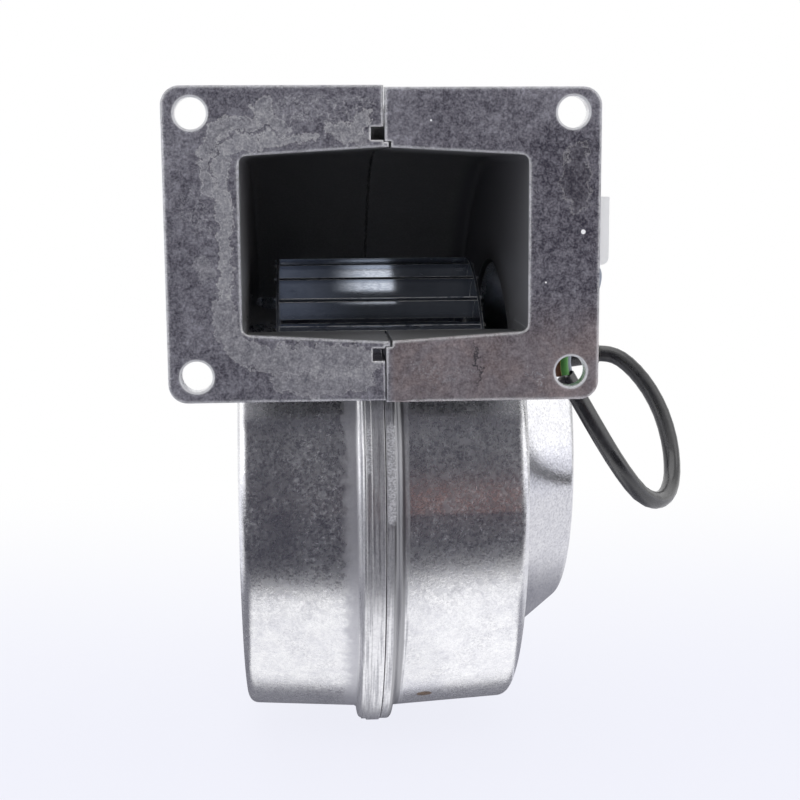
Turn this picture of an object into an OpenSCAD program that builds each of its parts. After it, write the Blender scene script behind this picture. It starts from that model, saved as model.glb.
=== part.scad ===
// Single-inlet centrifugal fan with a two-part die-cast scroll and an external rotor motor.
// Origin: middle of the outlet flange face. X runs along the fan axis towards the motor,
// Y runs into the fan away from the outlet, Z is up.

/* [Outlet flange] */
// Width of the flange
flange_w = 114; // [110:1:130]
// Height of the flange
flange_h = 82; // [78:1:96]
// Thickness of the flange
flange_t = 4.5; // [3:0.5:7]
// Radius of the flange corners
flange_corner_r = 5; // [2:0.5:7]
// Bevel on the front edges of the flange
flange_bevel = 0.3; // [0.3:0.1:0.8]
// Bolt spacing across the flange
bolt_span_x = 99; // [96:1:104]
// Bolt spacing up the flange
bolt_span_z = 68; // [66:1:72]
// Diameter of the bolt holes
bolt_hole_d = 8.2; // [5:0.1:8.6]
// How much lower the motor half of the flange sits
half_step = 0.5; // [0:0.1:0.8]

/* [Outlet duct] */
// Height of the outlet at the seam
outlet_h = 50.5; // [46:0.5:54]
// Inner width of the inlet half
inlet_half_w = 37.4; // [34:0.2:40]
// Inner width of the motor half
motor_half_w = 38; // [36:0.2:40]
// Draft of the cast walls in degrees
draft = 3.3; // [1:0.1:4]
// Radius of the inner corners
inner_corner_r = 2; // [1:0.5:4]
// Radius of the tongue tip
tongue_r = 1.6; // [1:0.1:2.2]

/* [Scroll] */
// Depth of the fan axis behind the flange face
axis_depth = 80; // [79:0.5:86]
// Drop of the fan axis below the middle of the outlet
axis_drop = 68; // [67:0.5:74]
// Distance from the scroll centre to its front wall at the seam
scroll_front_r = 71.25; // [70:0.25:72]
// Drop of the scroll centre below the fan axis
scroll_sink = 2; // [0:0.5:3]
// Wall thickness of the casting
wall = 2.6; // [2:0.1:3.2]
// Radius of the outer corners
outer_corner_r = 3; // [2:0.5:5]

/* [Seam rim] */
// Height of the rim above the wall
rim_h = 4.2; // [3.4:0.2:4.6]
// Width of the rim on the inlet half
inlet_rim_w = 6.2; // [6:0.1:9]
// Width of the rim on the motor half
motor_rim_w = 3.6; // [3:0.1:6]
// Height of each small step on the inlet rim
rim_step = 0.4; // [0.2:0.1:0.6]
// Radius where the rim runs into the wall
rim_fillet_r = 2; // [1:0.2:3]
// Gap between the two halves
seam_gap = 0.3; // [0.1:0.1:0.5]
// Thickness of the inner lip on the inlet half
lip_t = 1.3; // [1:0.1:1.8]
// Reach of the lip past the seam
lip_reach = 1.3; // [0.8:0.1:1.6]
// Depth of the rebate that takes the lip
rebate_depth = 2; // [1.8:0.1:3]
// Room around the lip in its rebate
lip_room = 0.2; // [0.1:0.1:0.4]
// Width of the seam groove
groove_w = 3.3; // [2:0.1:4]
// Height of the seam groove
groove_h = 3.4; // [2:0.1:3.6]

/* [Clamp lugs] */
// Radius of the lugs that hold the halves together
lug_r = 4.4; // [4:0.1:5]
// Length of a lug on each half
lug_len = 9; // [8:0.5:14]
// Diameter of the clamp screws
clamp_d = 4; // [3:0.5:4]

/* [Inlet] */
// Radius of the inlet throat
throat_r = 42; // [38:0.5:43]
// Radius of the rolled inlet lip
bell_r = 8; // [5:0.5:9]
// Wall of the inlet lip
bell_t = 2.2; // [1.6:0.1:2.6]
// How far the inlet nozzle reaches into the front ring
nozzle_overlap = 0.6; // [0.2:0.1:2]

/* [Impeller] */
// Outer diameter of the impeller
impeller_d = 120; // [110:1:121]
// Width of the impeller over its rings
impeller_w = 60; // [54:0.5:62]
// Shift of the impeller middle towards the motor
impeller_shift = 0.9; // [0:0.1:2]
// Number of blades
blade_count = 32; // [24:1:40]
// Thickness of a blade
blade_t = 0.6; // [0.4:0.1:1]
// Inner radius of the blade row
blade_root_r = 48; // [46:0.5:50]
// Radius of the blade curve
blade_curve_r = 12; // [11:0.5:14]
// Thickness of the rings at both ends
ring_t = 0.8; // [0.6:0.1:1.2]
// How far the folded blade tabs stand out of the rings
tab_h = 0.7; // [0.4:0.1:1]
// Angle of the first blade in degrees
blade_start = 82.5; // [0:0.1:90]

/* [Motor pot] */
// Radius of the pot where it leaves the side wall
pot_base_r = 61; // [60:0.5:63]
// Height of the pot above the side wall
pot_h = 16.4; // [15:0.2:20]
// Lean of the pot wall in degrees
pot_lean = 38; // [30:1:42]
// Radius of the pot edge
pot_edge_r = 4; // [3:0.5:6]
// Thickness of the pot wall
pot_t = 3; // [2.6:0.1:3.6]

/* [Motor] */
// Radius of the rotor bell
bell_cup_r = 34; // [33.6:0.2:36]
// Sheet thickness of the rotor bell
bell_cup_t = 1.5; // [1:0.1:1.8]
// Length of the rotor bell in front of the back disc
bell_cup_len = 42; // [40:0.5:46]
// Radius of the bell flange that carries the back disc
bell_flange_r = 42; // [40:0.5:44]
// Radius of the stator
stator_r = 28; // [26:0.2:28.4]
// Length of the stator stack
stator_len = 26; // [20:0.5:28]
// Air gap between stator and rotor
air_gap = 0.35; // [0.3:0.05:0.6]
// Number of stator teeth
tooth_count = 12; // [8:1:16]
// Radius of the bearing tube
tube_r = 13; // [12.6:0.1:14]
// Radius of the motor flange
motor_flange_r = 40; // [38:0.5:42]
// Thickness of the motor flange
motor_flange_t = 5; // [4:0.5:6]
// Pitch radius of the motor screws
motor_screw_pcr = 32; // [30:0.5:34]
// Diameter of the motor screws
motor_screw_d = 4; // [3:0.5:5]

/* [Shaft and bearings] */
// Diameter of the shaft
shaft_d = 8; // [6:0.5:8]
// Outer diameter of the bearings
bearing_d = 22; // [20:0.5:22]
// Width of the bearings
bearing_w = 7; // [6:0.5:8]
// Running clearance on the radius between shaft and bearing
shaft_play = 0.04; // [0.02:0.01:0.09]

/* [Lead] */
// Diameter of the sheathed lead
lead_d = 5.1; // [4.5:0.1:5.4]
// Diameter of an insulated core
core_d = 2.2; // [1.6:0.1:2.4]
// Length of the strain relief outside the pot
relief_len = 14.5; // [12:0.5:15]
// Width of the connector block
block_w = 18; // [16:0.5:20]
// Height of the connector block
block_h = 18; // [16:0.5:20]
// Thickness of the connector block
block_t = 10; // [8:0.5:12]
// Height of the lower end of the connector block
block_z = -6; // [-8:0.5:-4]

/* [Hidden] */
$fn = 64;
e = 0.01;
far = 200;

// Scroll of four quarter arcs about the corners of a small square
scroll_y = axis_depth;
scroll_z = -axis_drop - scroll_sink;
scroll_step = (outlet_h / 2 - scroll_z - scroll_front_r) / 3;
TONGUE_QUARTER = 0;
BACK_QUARTER = 2;
TOP_QUARTER = 3;
function quarter_centre(q) = [
    scroll_y + (q == 1 || q == 2 ? 1 : -1) * scroll_step / 2,
    scroll_z + (q >= 2 ? 1 : -1) * scroll_step / 2
];
function quarter_r(q) = scroll_front_r + (q - 0.5) * scroll_step;
function quarter_start(q) = 90 + 90 * q;
function polar(r, a) = r * [cos(a), sin(a)];
function arc(centre, r, a0, a1, n = 6) = [for (i = [0:n]) centre + polar(r, a0 + (a1 - a0) * i / n)];

duct_end_y = quarter_centre(TOP_QUARTER)[0];

// Tongue between the outlet floor and the first quarter of the scroll
tongue_floor = outlet_h / 2 + quarter_centre(TONGUE_QUARTER)[1];
tongue_lift = asin((-tongue_floor - tongue_r) / (quarter_r(TONGUE_QUARTER) + tongue_r));
tongue_half_angle = (90 - tongue_lift) / 2;
tongue_pos = quarter_centre(TONGUE_QUARTER)
    + polar(quarter_r(TONGUE_QUARTER) + tongue_r, 180 - tongue_lift);

// Stations along the fan axis
inlet_face_x = inlet_half_w + wall;
motor_face_x = motor_half_w + wall;
ring_x = impeller_shift - impeller_w / 2;
disc_x = impeller_shift + impeller_w / 2;
pot_end_x = motor_face_x + pot_h;
pot_floor_x = pot_end_x - pot_t;
motor_flange_x = pot_floor_x - motor_flange_t;
bell_front_x = disc_x - bell_cup_len;
hub_len = 8;
tube_front_x = bell_front_x + bell_cup_t + hub_len + 1.5;
stator_x = disc_x - stator_len - 0.8;
rear_bearing_x = motor_flange_x - bearing_w - 1;
front_bearing_x = tube_front_x + 0.5;
washer_t = 1.2;
circlip_t = 1;

// Lugs: depth, height and the direction towards the rim
rim_top = wall + rim_h;
lug_out = rim_top + lug_r - 1.5;
top_lug_y = 40;
low_lug = [flange_t + lug_r + 0.4, -outlet_h / 2 - lug_out + 1];
function lug_on(q, a) = concat(quarter_centre(q) + polar(quarter_r(q) + lug_out, a), [a + 180]);
LUGS = [
    [top_lug_y, outlet_h / 2 + lug_out, 270],
    lug_on(TOP_QUARTER, 45),
    lug_on(BACK_QUARTER, 315),
    concat(low_lug, [90])
];

// Strain relief on the end of the pot, and the lead that leaves it
relief_y = 71.5;
relief_z = -38.3;
relief_x = pot_end_x + relief_len;
relief_gap = 0.3;
LEAD_ROUTE = [
    [relief_x + relief_gap, relief_y, relief_z], [75, 71.3, -38.6], [78.5, 70, -40], [82.5, 67.5, -43.6],
    [86.5, 64.5, -49.2], [89.5, 61, -56], [91, 56.5, -63.5], [90.8, 51.5, -70], [89, 45, -74.6],
    [85.4, 37.5, -77], [80.4, 30, -76.6], [74.4, 23.2, -72.8], [68, 18, -65.2], [61.6, 15, -55.6],
    [54.6, 14, -43.8], [50.6, 13.6, -37]
];
LEAD_PLANE = [0.71, -0.25, 0.65];

// Three cores from the end of the sheath to the connector block on the back of the flange
block_right = 60.2;
core_pitch = 6;
core_depth = 4;
core_room = 0.2;
function core_x(i) = block_right - block_w / 2 + (i - 1) * core_pitch;
function core_entry(i) = [core_x(i), flange_t + block_t / 2, block_z];
function core_run(i, lead_in, bends) =
    concat(bends, [core_entry(i) + lead_in, core_entry(i), core_entry(i) + [0, 0, core_depth]]);
CORE_PLANE = [0, 1, 0];
LIVE_ROUTE = core_run(0, [0, 0, -4],
    [[49.2, 14.4, -37.2], [48.5, 14.3, -33.5], [46.6, 13.6, -27], [45.2, 11.4, -18]]);
EARTH_ROUTE = core_run(1, [0, 0, -4],
    [[50.3, 12.3, -36.6], [49.9, 12.2, -33], [50.2, 11.8, -27], [51, 10.6, -18]]);
NEUTRAL_ROUTE = core_run(2, [1.2, 0.2, -2.8],
    [[51.5, 14.4, -35.9], [51.2, 15, -32.5], [52.6, 14.6, -26], [56, 12.4, -18.6], [58, 10.6, -12.8]]);

// Fits and small sizes
fit = 0.02;
screw_room = 0.2;
head_slot = 0.8;
block_screw_d = 3;
block_screw_z = block_z + block_h - 5;
relief_in = 3;
rim_floor_y = tongue_pos[0] - 6;
groove_set = 0.5;
bell_bite = 0.5;
tongue_bead = 0.1;
ease_start = 2;
ease_side = 0.4;
ease_rise = 0.05;

// Shape helpers

// Stands a shape drawn with depth across and height up along the fan axis
module along_axis() { rotate([90, 0, 90]) children(); }

// Same, about the fan axis itself
module on_axis() { translate([0, axis_depth, -axis_drop]) along_axis() children(); }

// Revolves a section of radius and distance along the fan axis
module turned() { on_axis() rotate_extrude() children(); }

// Disc or ring about the fan axis from one station to the next
module ring(r_in, r_out, x0, x1) { turned() translate([r_in, x0]) square([r_out - r_in, x1 - x0]); }

// Extrudes a shape drawn across and up from one depth to another
module into_depth(y0, y1) { translate([0, y1, 0]) rotate([90, 0, 0]) linear_extrude(y1 - y0) children(); }

// One quarter of the scroll from a section of radius and distance from the seam
module quarter_turn(q, sweep = 90) {
    c = quarter_centre(q);
    translate([0, c[0], c[1]]) along_axis() rotate(quarter_start(q) + 90) mirror([0, 1, 0])
        rotate_extrude(angle = sweep) children();
}

// Full section from the centre to a leaning wall with a rounded corner
module filled_section(r, w, corner, lean, w0 = 0) {
    c = [r - (w - corner) * tan(lean) - corner / cos(lean), w0 + w - corner];
    polygon(concat([[0, w0], [r, w0]], arc(c, corner, lean, 90), [[0, w0 + w]]));
}

// Same for the cavity, with a rebate beside the seam
module cavity_section(r, w, rebate) {
    filled_section(r, w, inner_corner_r, draft);
    if (rebate > 0) square([r + lip_t + lip_room, rebate]);
}

// Draws a section above and below the middle of the outlet
module mouth_section() {
    for (s = [0, 1]) mirror([0, s, 0]) mirror([1, -1, 0]) children();
}

// Runs a seam section round the scroll from the tongue on and along the top of the outlet
module along_seam(y0) {
    for (q = [0:3]) quarter_turn(q, q == TONGUE_QUARTER ? tongue_lift - 2 : 90)
        translate([quarter_r(q), 0]) children();
    into_depth(y0, duct_end_y) translate([0, outlet_h / 2]) mirror([1, -1, 0]) children();
}

// Runs a seam section along the floor of the outlet
module along_floor(y0, y1) {
    into_depth(y0, y1) mirror([0, 1, 0]) translate([0, outlet_h / 2]) mirror([1, -1, 0]) children();
}

// Plate with rounded outer corners, from the seam outwards
module flange_outline() {
    corner = [flange_w / 2 - flange_corner_r, flange_h / 2 - flange_corner_r];
    translate([0, -corner[1]]) square([flange_w / 2, 2 * corner[1]]);
    translate([0, -flange_h / 2]) square([corner[0], flange_h]);
    for (s = [-1, 1]) translate([corner[0], s * corner[1]]) circle(flange_corner_r);
}

// What the bevel takes off the front edge of the flange
module flange_bevel_cut() {
    b = flange_bevel;
    corner = [flange_w / 2 - flange_corner_r, flange_h / 2 - flange_corner_r];
    for (s = [0, 1]) mirror([0, 0, s]) {
        translate([-1, 0, flange_h / 2]) rotate([90, 0, 90]) linear_extrude(corner[0] + 1)
            polygon([[-e, -b], [-e, 1], [b + 1, 1]]);
        translate([corner[0], 0, corner[1]]) rotate([90, 0, 0]) rotate_extrude(angle = 90)
            polygon([[flange_corner_r - b, e], [flange_corner_r + 1, e], [flange_corner_r + 1, -b - 1]]);
    }
    translate([flange_w / 2, 0, -corner[1]]) linear_extrude(2 * corner[1])
        polygon([[-b, -e], [1, -e], [1, b + 1]]);
}

// What the bevel takes off the edges of the outlet and of the seam on the flange face
module mouth_bevel_cut(w, seam_x) {
    b = flange_bevel;
    run = w - inner_corner_r - b;
    side_h = outlet_h / 2 - w * tan(draft) - inner_corner_r - b;
    for (s = [0, 1]) mirror([0, 0, s])
        translate([0, 0, outlet_h / 2]) rotate([0, draft, 0]) along_axis() linear_extrude(run)
            polygon([[-e, -1], [-e, b + e], [b + 1, -1]]);
    translate([w, 0, -side_h]) linear_extrude(2 * side_h) bevel_edge();
    translate([seam_x, 0, -far / 2]) linear_extrude(far) bevel_edge();
}
module bevel_edge() { polygon([[-1, -e], [flange_bevel + e, -e], [-1, flange_bevel + 1]]); }

// Places something at both bolt holes of one half
module at_bolts() {
    for (s = [-1, 1]) translate([bolt_span_x / 2, 0, s * bolt_span_z / 2]) rotate([-90, 0, 0]) children();
}

// Places something at each clamp lug, along the fan axis
module at_lugs(x0) {
    for (lug = LUGS) translate([x0, lug[0], lug[1]]) along_axis() rotate(lug[2]) children();
}
module lugs() {
    at_lugs(0) linear_extrude(lug_len) {
        circle(lug_r);
        translate([0, -lug_r]) square([lug_r + 1, 2 * lug_r]);
    }
}

// Everything inside one half of the casting
module cavity(w, rebate) {
    for (q = [0:3]) quarter_turn(q) cavity_section(quarter_r(q), w, rebate);
    into_depth(-1, duct_end_y) mouth_section() cavity_section(outlet_h / 2, w, rebate);
}

// Round tip of the tongue, and the sharp wedge that it replaces
module at_tongue(x0, w) {
    intersection() {
        translate([0, tongue_pos[0], tongue_pos[1]]) rotate([tongue_half_angle, 0, 0]) children();
        translate([x0, 0, -far]) cube([w - x0, far, far]);
    }
}
module tongue_tip(x0, w) {
    at_tongue(x0, w) rotate([0, 90, 0]) cylinder(r = tongue_r + tongue_bead, h = 3 * w, center = true);
}
module tongue_wedge(w) {
    at_tongue(0, w) translate([-w, tongue_r * sin(tongue_half_angle), -4 * tongue_r])
        cube([3 * w, 8 * tongue_r, 8 * tongue_r]);
}

// What lowers the sides of the outlet floor towards the tongue, whose edge lies level
module floor_ease(w) {
    run = tongue_pos[0] - ease_start;
    fall = atan(w * tan(draft) / (run - 2 * tongue_r) * cos(draft));
    translate([0, ease_start, -outlet_h / 2]) intersection() {
        translate([0, 0, ease_rise]) cube([w - ease_side, run + 2 * tongue_r, 4]);
        rotate([-fall, -draft, 0]) translate([-w, -1, 0]) cube([3 * w, 2 * run, 8]);
    }
}

// One half of the casting before its seam and side opening are cut, with its rim section as a child
module half_casting(w, step, rebate) {
    difference() {
        union() {
            for (q = [0:3]) quarter_turn(q)
                filled_section(quarter_r(q) + wall, w + wall, outer_corner_r, draft);
            into_depth(0, duct_end_y) mouth_section()
                filled_section(outlet_h / 2 + wall, w + wall, outer_corner_r, draft);
            translate([0, 0, -step]) difference() {
                into_depth(0, flange_t) flange_outline();
                flange_bevel_cut();
            }
            along_seam(flange_t - e) children();
            along_floor(flange_t - e, rim_floor_y) translate([wall / 2, 0])
                square([rim_top - wall / 2 - 2 * rim_step, motor_rim_w - 0.5]);
            lugs();
        }
        cavity(w, rebate);
        tongue_wedge(w);
        floor_ease(w);
        at_bolts() {
            translate([0, 0, -1]) cylinder(d = bolt_hole_d, h = flange_t + 2);
            translate([0, 0, -e])
                cylinder(d1 = bolt_hole_d + 2 * flange_bevel, d2 = bolt_hole_d, h = flange_bevel);
        }
    }
    tongue_tip(rebate, w + e);
}

// Rim sections, drawn outwards from the inner wall and away from the seam
module inlet_rim_section() {
    x1 = inlet_rim_w;
    x2 = x1 + rim_fillet_r;
    ledge = x1 - 1.1;
    low = rim_top - 2 * rim_step;
    edge_r = 0.9;
    foot = wall - x2 * tan(draft) - 0.1;
    polygon(concat(
        [[wall / 2, 0], [rim_top, 0], [rim_top, groove_w + 0.3], [rim_top - rim_step, groove_w + 0.3]],
        [[rim_top - rim_step, ledge], [low, ledge]],
        arc([low - edge_r, x1 - edge_r], edge_r, 0, 90),
        arc([foot + rim_fillet_r, x2], rim_fillet_r, 270, 180),
        [[wall / 2, x2]]
    ));
}
module motor_rim_section() {
    x1 = motor_rim_w;
    x2 = x1 + rim_fillet_r;
    top = rim_top - rim_step;
    edge_r = 1.2;
    foot = wall - x2 * tan(draft) - 0.1;
    polygon(concat(
        [[wall / 2, 0], [top, 0]],
        arc([top - edge_r, x1 - edge_r], edge_r, 0, 90),
        arc([foot + rim_fillet_r, x2], rim_fillet_r, 270, 180),
        [[wall / 2, x2]]
    ));
}

module groove_section() { translate([lip_t + groove_set, -1]) square([groove_h, groove_w + 1]); }
module lip_section() { translate([0, -lip_reach]) square([lip_t, lip_reach + e]); }

// Housing

// Inlet half, drawn on the positive side and mirrored, with the rolled inlet lip
module inlet_shell() {
    lip_x = inlet_face_x - bell_r;
    nozzle_x = -ring_x - nozzle_overlap;
    color("lightslategray") mirror([1, 0, 0]) {
        difference() {
            half_casting(inlet_half_w, 0, 0) inlet_rim_section();
            along_seam(-1) groove_section();
            along_floor(-1, rim_floor_y - 4) groove_section();
            mouth_bevel_cut(inlet_half_w, 0);
            on_axis() cylinder(r = throat_r + bell_r - bell_bite, h = far);
            at_lugs(-1) cylinder(d = clamp_d + 2 * screw_room, h = far);
        }
        along_seam(0) lip_section();
        along_floor(0, tongue_pos[0] - 1) lip_section();
        turned() {
            translate([throat_r, nozzle_x]) square([bell_t, lip_x - nozzle_x]);
            intersection() {
                translate([throat_r + bell_r, lip_x]) difference() {
                    circle(bell_r);
                    circle(bell_r - bell_t);
                }
                translate([throat_r, lip_x]) square(bell_r);
            }
        }
    }
}

// Motor half with the conical pot that carries the motor
module motor_shell() {
    pot_in_r = pot_base_r - pot_t / cos(pot_lean) + (wall + 1) * tan(pot_lean);
    color("slategray") difference() {
        union() {
            half_casting(motor_half_w, half_step, rebate_depth) motor_rim_section();
            turned() filled_section(pot_base_r, pot_h, pot_edge_r, pot_lean, motor_face_x);
        }
        turned()
            filled_section(pot_in_r, pot_h - pot_t + wall + 1, pot_edge_r / 2, pot_lean, motor_half_w - 1);
        translate([seam_gap - far, -far, -far]) cube([far, 2 * far, 2 * far]);
        mouth_bevel_cut(motor_half_w, seam_gap);
        at_lugs(-1) cylinder(d = clamp_d + fit, h = far);
        at_motor_screws(pot_floor_x - 1) cylinder(d = motor_screw_d + 2 * screw_room, h = pot_t + 2);
        at_relief(pot_floor_x - 1) cylinder(r = relief_bush_r + fit, h = pot_t + 2);
        block_screw_hole();
    }
}

// Screws with a slotted round head; the head seats at height zero and the shank runs down
module slotted_screw(d, length, head_d, head_h) {
    translate([0, 0, -length]) cylinder(d = d, h = length + e);
    difference() {
        intersection() {
            cylinder(d = head_d, h = head_h);
            translate([0, 0, head_h - head_d]) sphere(head_d);
        }
        translate([-head_d, -head_slot / 2, head_h / 2]) cube([2 * head_d, head_slot, head_h]);
    }
}
clamp_head_d = 7.4;
clamp_head_h = 2.6;
module clamp_screws() {
    color("silver") mirror([1, 0, 0]) at_lugs(lug_len)
        slotted_screw(clamp_d, 2 * lug_len - 1, clamp_head_d, clamp_head_h);
}

// Impeller

blade_arc_mid = 55;
blade_tip_r = impeller_d / 2;

// Places something at each blade root, radius across and turning direction up
module at_blades() {
    for (i = [0:blade_count - 1]) rotate(blade_start + 360 * i / blade_count) children();
}
module blade_outline() {
    intersection() {
        translate([blade_root_r, blade_curve_r]) difference() {
            circle(blade_curve_r + blade_t / 2);
            circle(blade_curve_r - blade_t / 2);
        }
        translate([blade_root_r, -blade_t]) square([2 * blade_curve_r, blade_curve_r + blade_t]);
        circle(blade_tip_r);
    }
}
module tab_outline(room) {
    translate([blade_root_r + blade_curve_r * sin(blade_arc_mid), blade_curve_r * (1 - cos(blade_arc_mid))])
        rotate(blade_arc_mid) square([4 + 2 * room, blade_t + 2 * room], center = true);
}
module impeller_blades() {
    color("lightsteelblue") on_axis() {
        translate([0, 0, ring_x + ring_t])
            linear_extrude(impeller_w - 2 * ring_t) at_blades() blade_outline();
        translate([0, 0, ring_x - tab_h])
            linear_extrude(impeller_w + 2 * tab_h) at_blades() tab_outline(0);
    }
}

// Ring with a slot for each blade tab
module slotted_ring(r_in, x0) {
    on_axis() translate([0, 0, x0]) linear_extrude(ring_t) difference() {
        circle(blade_tip_r);
        circle(r_in);
        at_blades() tab_outline(0.1);
    }
}
module front_ring() { color("lightsteelblue") slotted_ring(blade_root_r - 1.4, ring_x); }

rivet_count = 6;
rivet_r = 1.6;
rivet_pcr = (bell_cup_r + bell_flange_r) / 2;
module at_rivets(x0) {
    on_axis() for (i = [0:rivet_count - 1]) rotate(30 + 360 * i / rivet_count)
        translate([rivet_pcr, 0, x0]) children();
}
module back_disc() {
    color("lightsteelblue") difference() {
        slotted_ring(bell_cup_r + 0.1, disc_x - ring_t);
        at_rivets(disc_x - 2) cylinder(r = rivet_r + fit, h = 4);
    }
}
module disc_rivets() {
    color("gainsboro") at_rivets(disc_x - ring_t) {
        cylinder(r = rivet_r, h = ring_t + bell_cup_t);
        translate([0, 0, -1]) cylinder(r1 = rivet_r, r2 = 2 * rivet_r, h = 1);
        translate([0, 0, ring_t + bell_cup_t]) cylinder(r1 = 2 * rivet_r, r2 = rivet_r, h = 1);
    }
}

// Motor

hub_r = 9;
module rotor_bell() {
    open_x = disc_x + bell_cup_t;
    length = open_x - bell_front_x;
    color("dimgray") difference() {
        union() {
            turned() translate([0, open_x]) mirror([0, 1, 0]) difference() {
                filled_section(bell_cup_r, length, 5, 0);
                filled_section(bell_cup_r - bell_cup_t, length - bell_cup_t, 5 - bell_cup_t, 0);
            }
            ring(bell_cup_r - e, bell_flange_r, disc_x, open_x);
        }
        ring(0, hub_r / 2 + fit, bell_front_x - 1, bell_front_x + bell_cup_t + 1);
        at_rivets(disc_x - 1) cylinder(r = rivet_r + fit, h = 4);
    }
}
module rotor_core() {
    cage_t = 2.2;
    r_in = stator_r + air_gap;
    r_out = bell_cup_r - bell_cup_t - fit;
    color("gray") {
        ring(r_in, r_out, stator_x, stator_x + stator_len);
        for (x0 = [stator_x - cage_t, stator_x + stator_len])
            ring(r_in + 0.6, r_out - 0.4, x0 - e, x0 + cage_t + e);
    }
}
module rotor_hub() {
    color("silver") {
        ring(shaft_d / 2 + fit, hub_r / 2, bell_front_x - 0.6, bell_front_x + bell_cup_t + e);
        ring(shaft_d / 2 + fit, hub_r, bell_front_x + bell_cup_t, bell_front_x + bell_cup_t + hub_len);
    }
}
circlip_x = rear_bearing_x + bearing_w + 0.1;
groove_r = shaft_d / 2 - 0.5;
shaft_end_x = circlip_x + circlip_t + 1.6;
module motor_shaft() {
    bevel = 0.6;
    r = shaft_d / 2;
    color("silver") difference() {
        turned() polygon([
            [0, bell_front_x - 1], [r - bevel, bell_front_x - 1], [r, bell_front_x - 1 + bevel],
            [r, shaft_end_x - bevel], [r - bevel, shaft_end_x], [0, shaft_end_x]
        ]);
        ring(groove_r, r + 1, circlip_x, circlip_x + circlip_t + 0.1);
    }
}
module shaft_circlip() {
    color("black") difference() {
        ring(groove_r + fit, shaft_d / 2 + 1.8, circlip_x + 0.05, circlip_x + circlip_t);
        on_axis() translate([0, -1.2, 0]) cube([far, 2.4, far]);
    }
}
module bearing(x0) {
    r0 = shaft_d / 2 + shaft_play;
    r1 = bearing_d / 2;
    shield = 0.5;
    color("gainsboro") turned() difference() {
        translate([r0, x0]) square([r1 - r0, bearing_w]);
        for (x = [x0 - e, x0 + bearing_w - shield + e])
            translate([r0 + 2, x]) square([r1 - r0 - 4, shield]);
    }
}
module front_bearing() { bearing(front_bearing_x); }
module rear_bearing() { bearing(rear_bearing_x); }
washer_x = front_bearing_x + bearing_w;
module preload_washer() {
    color("goldenrod") ring(bearing_d / 2 - 3, bearing_d / 2 - 0.2, washer_x, washer_x + washer_t);
}

module at_motor_screws(x0) {
    on_axis() for (a = [45:90:315]) rotate(a) translate([motor_screw_pcr, 0, x0]) children();
}
module motor_flange() {
    seat_r = bearing_d / 2 + fit;
    mid_r = bearing_d / 2 - 1.5;
    color("darkgray") difference() {
        union() {
            ring(0, tube_r, tube_front_x, pot_floor_x);
            ring(0, motor_flange_r, motor_flange_x, pot_floor_x);
        }
        ring(0, mid_r, tube_front_x - 1, pot_floor_x + 1);
        ring(0, seat_r, tube_front_x - 1, washer_x + washer_t);
        ring(0, seat_r, rear_bearing_x, pot_floor_x + 1);
        at_motor_screws(motor_flange_x - 1) cylinder(d = motor_screw_d + fit, h = far);
        at_relief(motor_flange_x - 1) cylinder(r = relief_bush_r + screw_room, h = far);
    }
}

slot_pitch_r = (stator_r + tube_r) / 2 + 1.5;
slot_r = 3;
module at_slots() {
    for (i = [0:tooth_count - 1]) rotate(360 * i / tooth_count) children();
}
module stator_outline(r_in, r_out) {
    difference() {
        circle(r_out);
        circle(r_in);
        at_slots() {
            translate([slot_pitch_r, 0]) circle(slot_r);
            translate([slot_pitch_r, -0.9]) square([far, 1.8]);
        }
    }
}
module stator_core() {
    color("slategray") on_axis() translate([0, 0, stator_x]) linear_extrude(stator_len)
        stator_outline(tube_r + fit, stator_r);
}
insulator_t = 1.2;
module stator_insulators() {
    color("ivory") on_axis() for (x0 = [stator_x - insulator_t, stator_x + stator_len])
        translate([0, 0, x0]) linear_extrude(insulator_t) stator_outline(tube_r + 0.4, stator_r - 0.8);
}
winding_h = 6.5;
module stator_windings() {
    wire_room = 0.3;
    r_in = tube_r + 2;
    r_out = stator_r - 1.6;
    color("chocolate") {
        for (x0 = [stator_x - insulator_t - winding_h, stator_x + stator_len + insulator_t]) turned()
            translate([(r_in + r_out) / 2, x0 + winding_h / 2]) {
                square([r_out - r_in - 4, winding_h], center = true);
                square([r_out - r_in, winding_h - 4], center = true);
                for (sx = [-1, 1], sy = [-1, 1])
                    translate([sx * ((r_out - r_in) / 2 - 2), sy * (winding_h / 2 - 2)]) circle(2);
            }
        on_axis() translate([0, 0, stator_x - insulator_t - 1]) at_slots()
            translate([slot_pitch_r, 0, 0])
                cylinder(r = slot_r - wire_room, h = stator_len + 2 * insulator_t + 2);
    }
}
motor_head_d = 7.2;
motor_head_h = 2.4;
module motor_screws() {
    color("silver") at_motor_screws(pot_end_x)
        slotted_screw(motor_screw_d, pot_t + motor_flange_t - 0.5, motor_head_d, motor_head_h);
}

// Lead

relief_bush_r = 4.6;
relief_collar_r = 6.2;
module at_relief(x0) { translate([x0, relief_y, relief_z]) along_axis() children(); }
module strain_relief() {
    collar_t = 2;
    color([0.1, 0.1, 0.11]) at_relief(pot_end_x) {
        translate([0, 0, -pot_t - relief_in]) cylinder(r = relief_bush_r, h = pot_t + relief_in + e);
        cylinder(r = relief_collar_r, h = collar_t);
        translate([0, 0, collar_t - e])
            cylinder(r1 = relief_bush_r, r2 = lead_d / 2 + 0.5, h = relief_len - collar_t + e);
    }
}

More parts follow.
